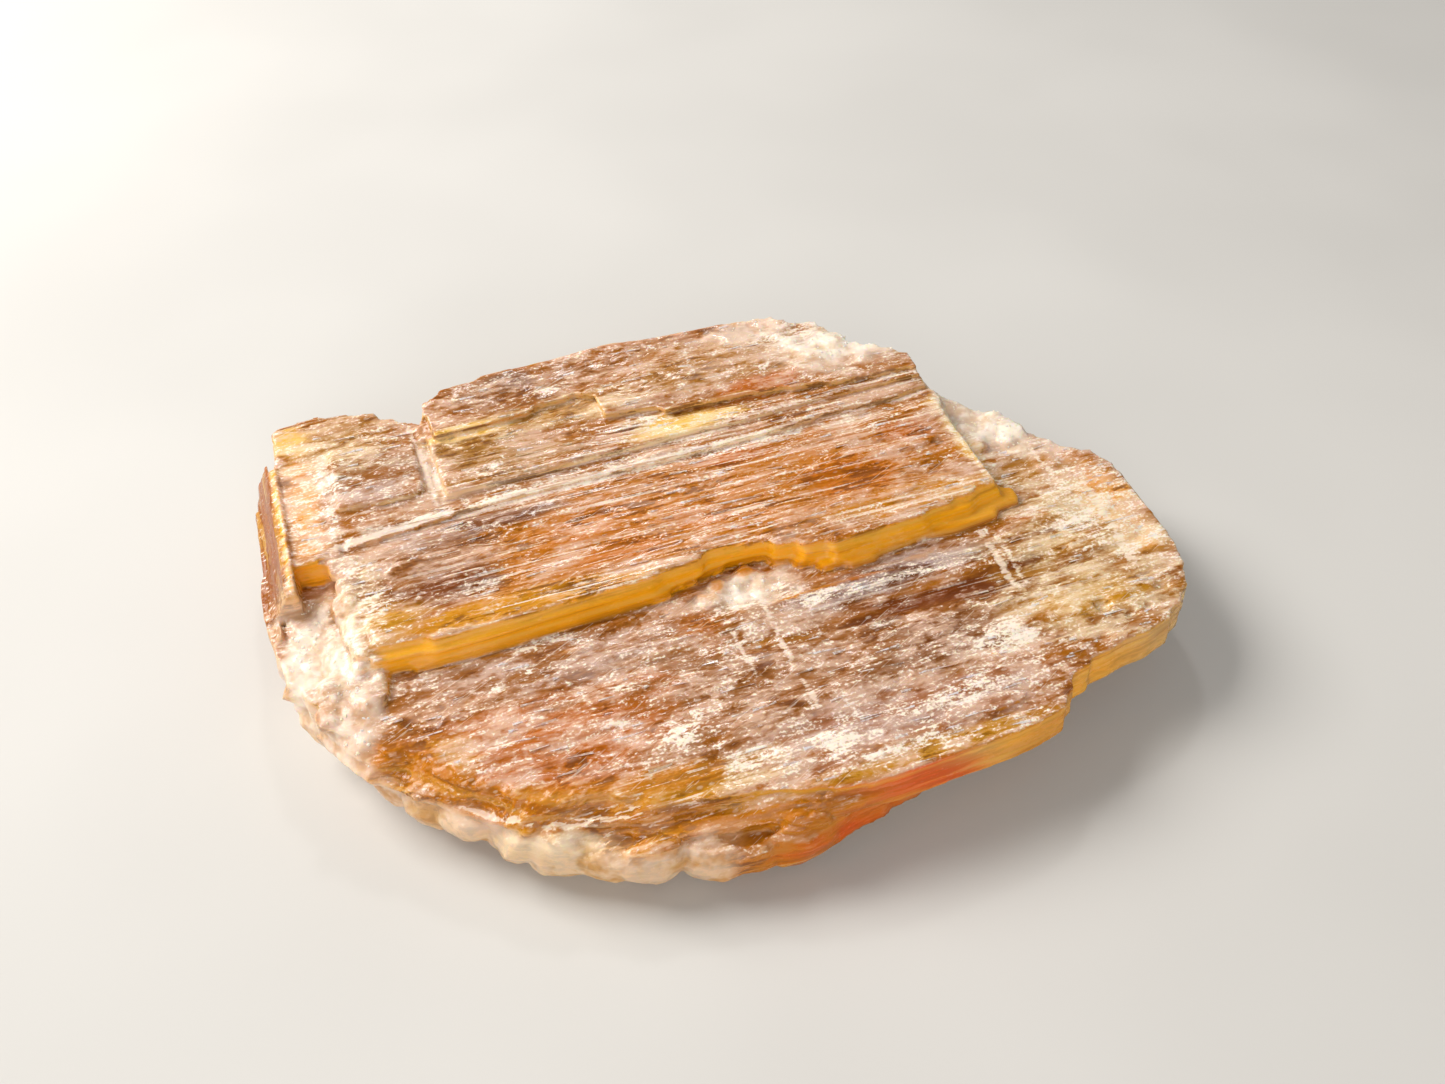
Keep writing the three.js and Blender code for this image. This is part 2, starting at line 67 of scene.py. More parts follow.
print("fixed model, lowest and highest corner in mm:",
      [[round(value / MM, 2) for value in corner] for corner in cad_box])

# %% [markdown]
# ## The camera
#
# A small thing fills the view only when the lens comes very close, and then near parts look
# larger than far ones. So the camera stands less than 5 cm away, looking down at 45 degrees,
# and turned a little from the blades' direction so that the ledges cross the view at a slant.

# %% Camera
CAMERA_PLACE = Vector((-10.5, -28.8, 34.4)) * MM
CAMERA_DOWN = math.radians(45)
CAMERA_TURN = math.radians(-20)
CAMERA_LENS = 31.14  # mm, on a sensor 36 mm wide

camera_data = bpy.data.cameras.new("close_up")
camera_data.lens = CAMERA_LENS
camera_data.sensor_width = 36
camera_data.clip_start = 1 * MM
camera = bpy.data.objects.new("close_up", camera_data)
camera.location = CAMERA_PLACE
camera.rotation_euler = (math.pi / 2 - CAMERA_DOWN, 0, CAMERA_TURN)
bpy.context.scene.collection.objects.link(camera)
bpy.context.scene.camera = camera
print("camera stands", round(CAMERA_PLACE.length / MM, 1), "mm from the origin")

# %% [markdown]
# ## A finer skin
#
# The fixed model has a few thousand flat faces. A real cleavage face has ledges a tenth of a
# millimetre high. We could sculpt them by hand, but it is surer to let the computer rebuild the
# same closed surface as an even, fine grid (a voxel remesh) and then move its points. The grid
# works in millimetres, because Blender's voxel size has a lower limit in metres. A remesh also
# fuses what overlaps, so first we drop a few lumps of crust into the seams between the blades.

# %% Crust that heals the gaps
HEALED = [  # from, to, smallest and largest reach, how many
    ((-8.85, 4.6, 4.15), (-8.9, 9.0, 4.25), 0.25, 0.36, 60),
    ((-13.7, 2.7, 3.1), (-12.8, 2.6, 3.1), 0.4, 0.6, 8),
    ((-13.9, 1.8, 2.6), (-12.7, 1.7, 2.9), 0.5, 0.7, 8),
    ((-12.6, -1.3, 3.5), (-12.6, 3.0, 3.75), 0.35, 0.55, 26),
    ((-13.2, -1.4, 2.9), (-13.2, 1.8, 3.2), 0.5, 0.8, 16),
    ((-12.3, -1.75, 3.4), (-12.0, -1.75, 3.3), 0.2, 0.35, 4),
    ((-12.6, 3.2, 3.9), (-12.5, 4.1, 4.0), 0.35, 0.45, 8),
    ((-12.45, -1.2, 3.85), (-12.4, 3.0, 3.95), 0.25, 0.45, 36),
]
BLOCK = ((-14.15, 3.3, 3.0), (-12.5, 8.55, 4.37))  # fills the slots of the small block


def heal(shape):
    """Lumps of crust along the seams where blades have grown together."""
    chance = random.Random(2)
    for start, end, smallest, largest, count in HEALED:
        for _ in range(count):
            place = Vector(start).lerp(Vector(end), chance.random())
            place += Vector((chance.gauss(0, 0.08), chance.gauss(0, 0.1), chance.gauss(0, 0.05)))
            reach = chance.uniform(smallest, largest)
            matrix = (Matrix.Translation(place) @ Matrix.Rotation(chance.uniform(0, 6), 4, "Z")
                      @ Matrix.Diagonal((reach, reach * 0.8, reach * 0.75, 1)))
            bmesh.ops.create_icosphere(shape, subdivisions=2, radius=1.0, matrix=matrix)
    lowest, highest = Vector(BLOCK[0]), Vector(BLOCK[1])
    middle, size = (lowest + highest) / 2, (highest - lowest).to_4d()
    matrix = Matrix.Translation(middle) @ Matrix.Diagonal(size)
    bmesh.ops.create_cube(shape, size=1.0, matrix=matrix)


print("lumps to drop into the seams:", sum(count for *_, count in HEALED))

# %% [markdown]
# A voxel remesh throws away the old faces and wraps the shape in new ones of equal size. The
# smaller the voxel, the finer the skin: at 0.07 mm, a ledge a quarter of a millimetre wide has
# a few points across.

# %% Rebuild the surface as a fine, even grid
VOXEL = 0.07  # mm
SAME_POINT = 0.0002  # mm; closer points than this are one


def link(name, mesh):
    piece = bpy.data.objects.new(name, mesh)
    bpy.context.scene.collection.objects.link(piece)
    return piece


def baked(piece):
    """The piece's mesh with its modifiers applied, and no modifiers left."""
    graph = bpy.context.evaluated_depsgraph_get()
    mesh = bpy.data.meshes.new_from_object(piece.evaluated_get(graph))
    piece.modifiers.clear()
    old = piece.data
    piece.data = mesh
    bpy.data.meshes.remove(old)
    return piece


shape = bmesh.new()
shape.from_mesh(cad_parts["kyanite_crystal"].data)
bmesh.ops.remove_doubles(shape, verts=shape.verts, dist=SAME_POINT * MM)
bmesh.ops.scale(shape, verts=shape.verts, vec=(1 / MM, 1 / MM, 1 / MM))
heal(shape)
stone_mesh = bpy.data.meshes.new("stone")
shape.to_mesh(stone_mesh)
shape.free()
stone = link("stone", stone_mesh)
grid = stone.modifiers.new("grid", "REMESH")
grid.mode = "VOXEL"
grid.voxel_size = VOXEL
baked(stone)
print("the skin has", len(stone.data.vertices), "points")

# %% [markdown]
# ## Naming places on the crystal
#
# The crystal is zoned: an orange plate, a mauve brown terrace, yellow, rusty and dusted spots,
# and a pale crust on its rim. Painting an image would tie it to one view and one size. So we
# say where things are in words: a place has a centre and a reach in millimetres, seen from above,
# and it becomes a soft mask, 1 in the middle and 0 outside. A noise stretched along the blades
# frays the masks, because nothing on a cleavage face has a clean border.

# %% Soft masks from named places
def smooth_between(low, high, value):
    share = np.clip((value - low) / (high - low), 0, 1)
    return share * share * (3 - 2 * share)


def wander(points, per_mm, seed):
    """A noise value for each point, with its own number of cycles per mm along x, y and z."""
    stretched = points * np.array(per_mm)
    return np.array([noise.noise((a + seed, b, c)) for a, b, c in stretched])


def mask_of(place, points, frayed):
    """How far each point lies inside one place: (x, y, reach x, reach y, strength)."""
    x, y, reach_x, reach_y, strength = place
    distance = np.hypot((points[:, 0] - x) / reach_x, (points[:, 1] - y) / reach_y)
    return strength * (1 - smooth_between(0.5, 1.2, distance + frayed))


def most_of(places, points, frayed):
    best = np.zeros(len(points))
    for place in places:
        best = np.maximum(best, mask_of(place, points, frayed))
    return best


def far_from(points, line):
    """How far each point lies, seen from above, from a line of points."""
    nearest = np.full(len(points), 1e9)
    for (ax, ay), (bx, by) in zip(line, line[1:]):
        along = np.array([bx - ax, by - ay])
        offset = points[:, :2] - np.array([ax, ay])
        share = np.clip(offset @ along / (along @ along), 0, 1)
        gap = offset - share[:, None] * along
        nearest = np.minimum(nearest, np.hypot(gap[:, 0], gap[:, 1]))
    return nearest


print("a mask in the middle of its place:", mask_of((0, 0, 1, 1, 1.0), np.zeros((1, 3)), 0)[0])

# %% [markdown]
# A mesh has hundreds of thousands of points. Read into one array, they can all be worked on at
# once, which is far quicker than a loop. Only the noise is still worked out point by point.

# %% Read a mesh's points
def points_of(mesh):
    flat = np.empty(len(mesh.vertices) * 3)
    mesh.vertices.foreach_get("co", flat)
    return flat.reshape(-1, 3)


def normals_of(mesh):
    flat = np.empty(len(mesh.vertices) * 3)
    mesh.vertex_normals.foreach_get("vector", flat)
    return flat.reshape(-1, 3)


print("the skin's points as an array:", points_of(stone.data).shape)

# %% [markdown]
# Three zones are easier to tell by height than by place. The riser is the stepped front edge of
# the plate. The blade is the dark one at the left end. The slope joins the terrace to the rim.

# %% The riser, the blade and the slope
RISER_FOOT, RISER_TOP = (3.28, 3.4), (4.0, 4.14)  # mm above the floor, each a soft border
SLOPE_FOOT, SLOPE_TOP = (1.9, 2.2), (3.0, 3.14)


def riser_mask(points):
    """The steps of the plate's front edge, which light shines through."""
    x, y, z = points.T
    height = smooth_between(*RISER_FOOT, z) * (1 - smooth_between(*RISER_TOP, z))
    return height * (y < 0.4) * (y > -2.9) * smooth_between(-12.2, -11.7, x) * (x < 11.6)


def blade_mask(points):
    """The dark glassy blade that leans on the left end."""
    x, y, z = points.T
    return ((1 - smooth_between(-14.45, -14.3, x)) * smooth_between(2.2, 3.2, y)
            * (y < 9.0) * (z > 2.0))


def slope_mask(points):
    """The broken slope between the front terrace and the crust of the rim."""
    x, y, z = points.T
    return (smooth_between(*SLOPE_FOOT, z) * (1 - smooth_between(*SLOPE_TOP, z))
            * (1 - smooth_between(-3.4, -2.4, y)) * (1 - smooth_between(0.0, 2.0, x)))


print("points on the riser:", int((riser_mask(points_of(stone.data)) > 0.5).sum()))

# %% [markdown]
# The pale crust is what is left of the rock around the crystal. It sits in patches and along the
# front-left rim, where it stays low.

# %% Where the crust lies
CRUST_PLACES = [
    (-13.4, 1.9, 0.9, 0.8, 1.0),    # the foot of the small block
    (-12.7, 0.8, 0.7, 2.7, 0.45),   # along the plate's left end
    (-8.9, 6.8, 0.4, 2.5, 0.8),     # the healed seam beside the lobe
    (-14.3, 0.0, 1.7, 2.2, 1.0),    # the white lumps at the left end
    (-13.4, -2.8, 1.0, 2.0, 0.9),
    (12.6, 2.6, 1.9, 1.7, 1.0),     # the creamy ramp at the right
    (11.5, 4.2, 1.3, 1.6, 1.0),
    (14.0, 1.5, 1.1, 0.8, 0.8),
    (8.0, 8.2, 2.9, 1.9, 1.0),      # the back corner
    (5.4, 10.2, 3.0, 0.9, 0.8),
    (0.1, -1.9, 2.0, 0.9, 1.0),     # debris in the bay of the riser
]
RIM_LINE = [(-14.6, -1.0), (-13.4, -3.8), (-11.4, -6.6), (-9.4, -8.3), (-7.2, -9.4),
            (-5.0, -10.2)]


def crust_mask(points):
    frayed = 0.5 * wander(points, (0.5, 0.7, 0.7), 3) + 0.35 * wander(points, (1.6, 2.0, 2.0), 4)
    low = 1 - smooth_between(2.0, 2.5, points[:, 2] + frayed * 0.7)
    torn = far_from(points, RIM_LINE) + frayed * smooth_between(-7.0, -5.0, points[:, 0])
    rim = (1 - smooth_between(1.0, 2.1, torn)) * low * 0.8
    return np.maximum(most_of(CRUST_PLACES, points, frayed), rim) * (1 - riser_mask(points))


points = points_of(stone.data)
crusty = crust_mask(points)
print("crust covers", round(100 * float(crusty.mean())), "% of the skin")

# %% [markdown]
# ## Worn edges
#
# No edge on a loose stone is as sharp as a drawn one. We let each point drift a few times
# towards the middle of its neighbours, a little everywhere and more on the riser, whose steps
# melt into one glassy band, and where crust has healed a gap.

# %% Wear the edges round
WEAR_ROUNDS = 12
WEAR, WEAR_RISER, WEAR_HEALED = 0.08, 0.42, 0.7


def middles(mesh, points):
    """For each point, the middle of the points that it shares an edge with."""
    ends = np.empty(len(mesh.edges) * 2, dtype=np.int64)
    mesh.edges.foreach_get("vertices", ends)
    first, second = ends.reshape(-1, 2).T
    total = [np.bincount(first, points[second, axis], len(points))
             + np.bincount(second, points[first, axis], len(points)) for axis in range(3)]
    count = np.maximum(np.bincount(ends, minlength=len(points)), 1)
    return np.stack(total, axis=1) / count[:, None]


def worn(points):
    """How much a point's edges have worn round: a little everywhere, most on the riser's steps."""
    x, y, z = points.T
    healed = (np.abs(x + 12.5) < 0.6) * (y > -2.0) * (y < 8.8) * (z > 3.0)
    return WEAR + WEAR_RISER * np.maximum(riser_mask(points), WEAR_HEALED * healed)


for _ in range(WEAR_ROUNDS):
    points = points + worn(points)[:, None] * (middles(stone.data, points) - points)
stone.data.vertices.foreach_set("co", points.ravel())
stone.data.update()
print("edges worn in", WEAR_ROUNDS, "rounds")

# %% [markdown]
# ## Ledges, fibres and lumps
#
# Each point of the skin now moves along its own normal. On the broad faces a noise stretched
# along X is cut into levels, which gives low ledges that run with the blades, and a finer one
# adds the fibres. On the broken sides the laminae show as thin courses, so the noise is
# stretched the other way, flat and close in Z. The crust gets round lumps of three sizes.

# %% Move the points of the skin
LEDGE, FIBRE, COURSE, LUMP = 0.04, 0.01, 0.03, 0.11  # mm
CHIP, SLOPE_LEDGE = 0.6, 1.6  # a chip's height and a slope ledge's, in ledges
BELOW = 0.5  # the underside has lower relief
ROOM_BELOW, ROOM_ABOVE = (0.3, 0.3, 0.0), (0.3, 0.3, 0.12)  # mm past the fixed model's box


def stepped(value, levels):
    level = np.floor(value * levels)
    return (level + smooth_between(0.38, 0.62, value * levels - level)) / levels


normals = normals_of(stone.data)
broad = smooth_between(0.45, 0.85, np.abs(normals[:, 2]))
ledges = stepped(wander(points, (0.1, 0.8, 0.3), 11), 5) * 5 * LEDGE
chips = stepped(wander(points, (0.6, 2.0, 0.4), 19), 3) * 3 * LEDGE * CHIP
fibres = (wander(points, (0.35, 4.6, 4.6), 12) + 0.5 * wander(points, (1.1, 8.5, 8.5), 13)) * FIBRE
courses = wander(points, (0.4, 0.4, 6.0), 14) + 0.8 * wander(points, (2.6, 2.6, 2.0), 15)
lumps = (wander(points, (0.9, 0.9, 0.9), 16) + 0.5 * wander(points, (2.2, 2.2, 2.2), 17)
         + 0.22 * wander(points, (5.0, 5.0, 5.0), 18)) * LUMP
riser = riser_mask(points)
terraces = stepped(wander(points, (0.3, 1.4, 1.4), 23), 4) * 4 * LEDGE * SLOPE_LEDGE
terraces = terraces * slope_mask(points)
shift = (terraces + broad * (ledges + chips + fibres) * (1 - riser)
         + (1 - broad) * courses * COURSE * (1 - 0.9 * riser))
shift = shift * (1 - crusty) + lumps * crusty
shift *= np.where(normals[:, 2] < -0.5, BELOW, 1.0)
moved = points + normals * shift[:, None]
lowest, highest = (np.array(corner) / MM for corner in cad_box)
moved = np.clip(moved, lowest - ROOM_BELOW, highest + ROOM_ABOVE)
stone.data.vertices.foreach_set("co", moved.ravel())
stone.data.update()
print("the skin moved by up to", round(float(np.abs(shift).max()), 2), "mm")

# %% [markdown]
# ## Thinning the skin
#
# Flat stretches need fewer points than ledges do. Decimate's collapse removes the edges that
# matter least, so the flat underside is left with few points and the ledges keep theirs.

# %% Thin the skin and bring it back to metres
MOST_TRIANGLES = 196000

triangles = sum(len(face.vertices) - 2 for face in stone.data.polygons)
thin = stone.modifiers.new("thin", "DECIMATE")
thin.ratio = min(1.0, MOST_TRIANGLES / triangles)
thin.use_collapse_triangulate = True
baked(stone)
stone.data.transform(Matrix.Scale(MM, 4))
for face in stone.data.polygons:
    face.use_smooth = True
print("the skin went from", triangles, "to", len(stone.data.polygons), "triangles")

# %% [markdown]
# ## Where each colour lies
#
# A painter lays a ground first and frost over it. The ground is what we see between the pale
# fibres: honey brown, mauve, rust or deep orange. Each place below is laid over the ones before
# it. The result is kept on the mesh as one colour per point, next to a few plain numbers: how
# frosted, dusty or crusted a point is, and how sharp its edge is. The material reads them all.

# %% The crystal's palette
def colour(red, green, blue):
    """A screen colour, 0 to 255, as the light values that a shader needs."""
    return tuple((value / 255) ** 2.2 for value in (red, green, blue)) + (1.0,)


HONEY = colour(162, 96, 8)
MAUVE = colour(148, 92, 40)
PURPLE = colour(108, 64, 36)
RUST = colour(118, 58, 2)
DUSK = colour(98, 48, 10)
RED_ORANGE = colour(184, 98, 4)
ORANGE = colour(192, 114, 2)
DEEP_ORANGE = colour(196, 110, 0)
OCHRE = colour(194, 136, 22)
STRAW = colour(236, 186, 84)
TAN = colour(170, 116, 44)
AMBER = colour(250, 168, 6)
EMBER = colour(222, 84, 0)
HONEY_GOLD = colour(212, 142, 24)
OLIVE = colour(160, 112, 44)
BROWN = colour(168, 96, 12)
ROSE = colour(166, 108, 74)
RED_BROWN = colour(146, 78, 4)
DEEP_AMBER = colour(190, 114, 6)
APRICOT = colour(232, 156, 72)
BUFF = colour(214, 164, 92)
PEACH = colour(248, 206, 140)
BLUSH = colour(246, 208, 180)
PINK = colour(232, 196, 172)
LILAC = colour(210, 188, 180)
CREAM = colour(250, 226, 184)
WHITE = colour(255, 240, 222)
CRUST_LIGHT = colour(252, 238, 220)
# the crust's darker tone: random tan patches, and painted shade in the crust's hollows
CRUST_SHADE = colour(196, 148, 96)
print("white is", [round(value, 2) for value in WHITE], "as light values")

# %% [markdown]
# The front terrace is mauve brown with rust and olive spots, the plate orange, and the back
# brown and ochre. The list reads like a map: left is minus X, the front is minus Y.

# %% A map of the ground colours
GROUND_PLACES = [
    (MAUVE, (-1.0, -6.0, 12.0, 4.6, 1.0)),       # front terrace
    (RED_ORANGE, (-7.8, -6.2, 5.0, 2.4, 0.9)),
    (MAUVE, (-7.0, -2.9, 5.5, 1.1, 0.8)),
    (BROWN, (-1.9, -3.1, 0.8, 1.1, 1.0)),
    (PURPLE, (5.6, -2.9, 3.8, 0.9, 1.0)),
    (RUST, (5.6, -4.3, 3.9, 0.6, 1.0)),
    (PURPLE, (5.0, -6.3, 3.0, 1.2, 0.5)),
    (ROSE, (2.4, -8.6, 6.5, 1.5, 0.8)),
    (TAN, (11.2, -3.6, 2.5, 2.6, 0.9)),
    (OCHRE, (11.0, -6.2, 2.8, 1.0, 0.9)),
    (MAUVE, (11.2, -7.3, 1.0, 0.5, 0.9)),
    (TAN, (14.2, -3.6, 1.5, 3.6, 0.9)),
    (APRICOT, (14.2, -2.2, 0.9, 3.0, 0.8)),
    (APRICOT, (13.5, 0.2, 1.5, 0.8, 0.8)),
    (MAUVE, (10.4, -3.0, 1.3, 0.4, 0.9)),
    (MAUVE, (11.8, -4.4, 1.0, 0.4, 0.8)),
    (MAUVE, (9.8, -5.2, 1.2, 0.35, 0.8)),
    (RUST, (9.6, -3.9, 0.8, 0.25, 0.9)),
    (RED_ORANGE, (10.8, -2.0, 0.9, 0.4, 0.8)),
    (MAUVE, (14.3, -6.2, 0.5, 0.4, 1.0)),
    (MAUVE, (12.8, -7.0, 0.6, 0.35, 0.9)),
    (OCHRE, (-6.5, -8.7, 5.5, 0.9, 0.9)),        # amber bands along the rim
    (OCHRE, (-11.0, -5.6, 1.4, 1.0, 0.8)),
    (DEEP_ORANGE, (-12.0, -4.9, 0.8, 0.4, 0.9)),
    (OCHRE, (3.0, -10.0, 5.5, 0.5, 0.8)),
    (ORANGE, (0.0, 1.4, 12.6, 3.2, 0.9)),        # the plate
    (MAUVE, (-10.2, 2.2, 2.6, 1.8, 1.0)),
    (RUST, (-9.6, 0.6, 1.9, 0.9, 0.8)),
    (PURPLE, (-6.6, 3.3, 2.2, 0.5, 0.8)),
    (HONEY_GOLD, (-7.0, -0.8, 6.2, 0.55, 1.0)),
    (OCHRE, (-11.2, -0.2, 1.2, 0.8, 0.9)),
    (HONEY_GOLD, (7.0, -0.6, 3.6, 0.7, 0.6)),
    (DEEP_ORANGE, (5.3, 1.1, 1.9, 1.3, 1.0)),
    (DEEP_ORANGE, (-0.6, 1.1, 1.2, 0.9, 0.7)),
    (DEEP_ORANGE, (-3.4, 0.4, 1.8, 0.6, 0.9)),
    (DEEP_ORANGE, (-4.2, 2.0, 2.4, 0.9, 0.6)),
    (RED_ORANGE, (1.9, 3.6, 1.6, 0.5, 0.9)),
    (RED_ORANGE, (8.4, 2.8, 1.4, 0.7, 0.9)),
    (STRAW, (10.4, 2.0, 0.6, 3.4, 0.8)),
    (OLIVE, (-6.4, 6.4, 3.4, 1.9, 0.9)),         # the back
    (TAN, (-3.8, 7.6, 1.9, 0.7, 1.0)),
    (STRAW, (-7.4, 7.75, 1.6, 0.26, 1.0)),
    (MAUVE, (-4.6, 9.4, 4.4, 1.2, 0.9)),
    (PURPLE, (-5.0, 9.9, 1.2, 0.5, 0.9)),
    (TAN, (3.0, 8.2, 4.4, 1.8, 0.8)),
    (STRAW, (0.8, 5.7, 2.6, 0.7, 1.0)),
    (RED_ORANGE, (3.8, 6.6, 2.0, 0.7, 1.0)),
    (PURPLE, (-1.6, 5.95, 0.8, 0.22, 1.0)),
    (MAUVE, (-11.0, 6.6, 2.0, 1.7, 0.8)),        # the lobe and its block
    (TAN, (-11.6, 9.2, 2.4, 1.4, 0.8)),
    (STRAW, (-13.5, 9.5, 0.8, 1.1, 1.0)),
    (APRICOT, (-13.4, 5.8, 0.6, 3.2, 1.0)),
    (HONEY, (-14.9, 5.4, 0.6, 4.0, 0.9)),
    (AMBER, (-14.25, 5.4, 0.16, 3.6, 1.0)),
    (TAN, (12.6, 0.1, 2.4, 1.1, 0.9)),           # the right ramp
]
print("ground colours in", len(GROUND_PLACES), "places")

# %% [markdown]
# Frost is strongest along the white step at the back, in the bay and in the lower middle. It is
# weakest where the crystal is deep orange or rusty, and along the amber rim. Dust is the loose
# white powder on top.

# %% Maps of the frost and the dust
FROST_PLACES = [
    (-1.0, -3.4, 3.0, 1.6, 0.6),
    (2.0, -8.8, 6.0, 1.4, 0.7),
    (7.6, -7.0, 2.2, 1.2, 0.7),
    (-3.6, -7.0, 2.2, 1.0, 0.7),
    (0.0, 4.3, 11.0, 0.5, 0.6),
    (-12.0, 1.0, 0.8, 2.6, 0.6),
    (-12.5, 6.4, 0.3, 2.2, 1.0),
    (13.6, -2.6, 2.2, 3.6, 0.9),
    (10.4, 2.0, 0.7, 3.6, 0.8),
    (-13.2, -0.5, 1.2, 1.6, 1.0),
    (0.6, 5.7, 3.0, 0.8, 0.7),
    (-11.8, 8.8, 2.2, 1.8, 0.45),
    (-11.0, 6.6, 1.8, 1.8, 0.3),
    (-12.0, -7.0, 2.6, 2.0, 0.5),
    (-13.4, 5.6, 0.8, 3.0, 1.0),
    (3.0, 8.0, 5.0, 2.0, 0.4),
]
CLEAR_PLACES = [
    (0.0, 1.4, 12.0, 3.0, 0.25),
    (-2.0, 7.6, 8.0, 3.0, 0.25),
    (10.4, -3.0, 1.3, 0.4, 0.6),
    (11.8, -4.4, 1.0, 0.4, 0.6),
    (5.3, 1.1, 2.1, 1.4, 1.25),
    (5.6, -4.3, 3.9, 0.6, 0.9),
    (-3.4, 0.4, 2.0, 0.6, 0.7),
    (-3.8, 7.6, 1.7, 0.6, 0.6),
    (3.8, 6.6, 1.9, 0.7, 0.9),
    (-1.6, 5.95, 0.8, 0.25, 1.0),
    (-1.9, -3.1, 0.8, 1.0, 0.8),
    (-14.8, 5.4, 0.7, 4.0, 0.9),
    (-6.8, -0.75, 4.8, 0.5, 0.8),
    (-9.4, 1.6, 2.4, 1.4, 0.6),
    (-8.4, -7.4, 3.4, 0.9, 0.45),
    (-5.6, -9.0, 3.0, 0.8, 0.5),
    (-11.8, -4.9, 1.0, 0.6, 0.6),
]
DUST_PLACES = [
    (-3.8, -6.9, 0.8, 0.4, 1.0), (0.4, -8.8, 1.2, 0.5, 1.0), (3.9, -4.8, 0.6, 0.25, 1.0),
    (7.4, -6.9, 1.2, 0.6, 0.8), (-8.8, -3.3, 0.5, 0.25, 0.8), (-9.2, -5.4, 0.5, 0.25, 0.8),
    (-5.2, -4.6, 0.4, 0.18, 0.9), (-5.6, -5.9, 0.4, 0.2, 0.7), (-2.0, -8.5, 1.2, 0.5, 0.7),
    (5.0, -8.4, 1.6, 0.5, 0.6), (2.6, -9.6, 1.8, 0.3, 0.6), (-8.4, 0.3, 0.8, 0.35, 0.9),
    (-11.7, 1.0, 0.8, 1.2, 0.5), (-12.4, 2.6, 0.5, 1.0, 0.7), (-2.0, 4.2, 8.0, 0.22, 0.7),
    (-1.0, 6.3, 0.7, 0.3, 0.9), (0.2, -2.2, 1.6, 0.6, 0.8), (2.4, -3.2, 1.0, 0.3, 0.8),
    (5.6, -3.25, 2.6, 0.16, 0.9), (-3.6, 9.0, 0.8, 0.4, 0.7), (7.0, 9.0, 2.6, 1.2, 0.6),
    (-7.2, 5.4, 0.9, 0.3, 0.6), (12.2, -2.8, 1.4, 0.4, 0.6), (-6.8, -1.9, 1.2, 0.2, 0.8),
    (10.9, -1.9, 0.9, 0.3, 0.6), (6.0, -1.9, 2.0, 0.2, 0.6), (-13.3, -1.2, 1.0, 1.4, 0.6),
]
print("frost, clear and dusty places:", len(FROST_PLACES), len(CLEAR_PLACES), len(DUST_PLACES))

# %% [markdown]
# Frost isn't plain white. It takes a tint from what lies under it: lilac over the dark terrace,
# cream over the ochre rim, and pink elsewhere. On the grey-purple face by the bay the lilac is
# also a painted sheen. Some faces are fibrous, others grainy.

# %% Maps of the frost's tint and of the fibres
MIST_PLACES = [
    # partly the frost's tint and partly a painted sheen on the grey-purple face
    (LILAC, (5.2, -3.0, 4.2, 1.0, 1.0)),
    (LILAC, (-7.0, -3.0, 5.0, 1.0, 0.6)),
    (LILAC, (2.0, -8.6, 5.0, 1.2, 0.7)),
    (LILAC, (-11.0, 6.4, 1.8, 1.8, 0.8)),
    (LILAC, (-8.6, 3.2, 3.4, 0.7, 0.7)),
    (CREAM, (11.6, -4.6, 4.0, 4.6, 0.9)),
    (CREAM, (-6.0, -8.8, 6.0, 1.0, 0.8)),
    (CREAM, (0.8, 5.7, 3.0, 0.8, 1.0)),
    (CREAM, (-4.6, 7.6, 4.4, 0.8, 0.7)),
    (CREAM, (-6.0, -0.9, 6.8, 0.5, 0.4)),
    (WHITE, (-13.4, -0.4, 1.6, 2.0, 0.9)),
    (WHITE, (0.2, -2.0, 1.8, 1.0, 0.8)),
    (CREAM, (10.4, 2.0, 0.7, 3.6, 0.9)),
    (CREAM, (-12.0, 8.6, 2.4, 1.6, 0.8)),
    (BLUSH, (-13.4, 5.8, 0.7, 3.2, 1.0)),
    (CREAM, (-9.0, -8.4, 3.4, 1.1, 1.0)),
    (BLUSH, (-6.0, -10.2, 6.0, 0.9, 0.9)),
    (CREAM, (-12.0, 1.0, 0.8, 2.6, 0.9)),
    (WHITE, (0.0, 4.2, 12.0, 0.35, 0.7)),
    (WHITE, (12.3, 3.0, 2.4, 2.4, 1.0)),
    (WHITE, (8.0, 8.4, 2.9, 1.9, 1.0)),
    (WHITE, (-12.5, 6.4, 0.3, 2.2, 0.8)),
]
FIBROUS_PLACES = [
    (-4.0, -0.7, 9.0, 0.8, 1.0),
    (0.0, 3.5, 13.0, 1.0, 1.0),
    (0.0, 5.2, 13.0, 1.4, 1.0),
    (-1.0, 1.2, 11.5, 1.8, 0.75),
    (7.0, -0.7, 4.5, 0.8, 0.8),
    (5.4, -3.3, 4.0, 1.4, 0.5),
    (-5.0, -8.8, 6.0, 1.0, 0.8),
    (11.0, -4.0, 3.0, 3.0, 0.4),
    (-15.0, 5.0, 1.0, 5.0, 1.0),
]
print("tints in", len(MIST_PLACES), "places, fibres in", len(FIBROUS_PLACES))
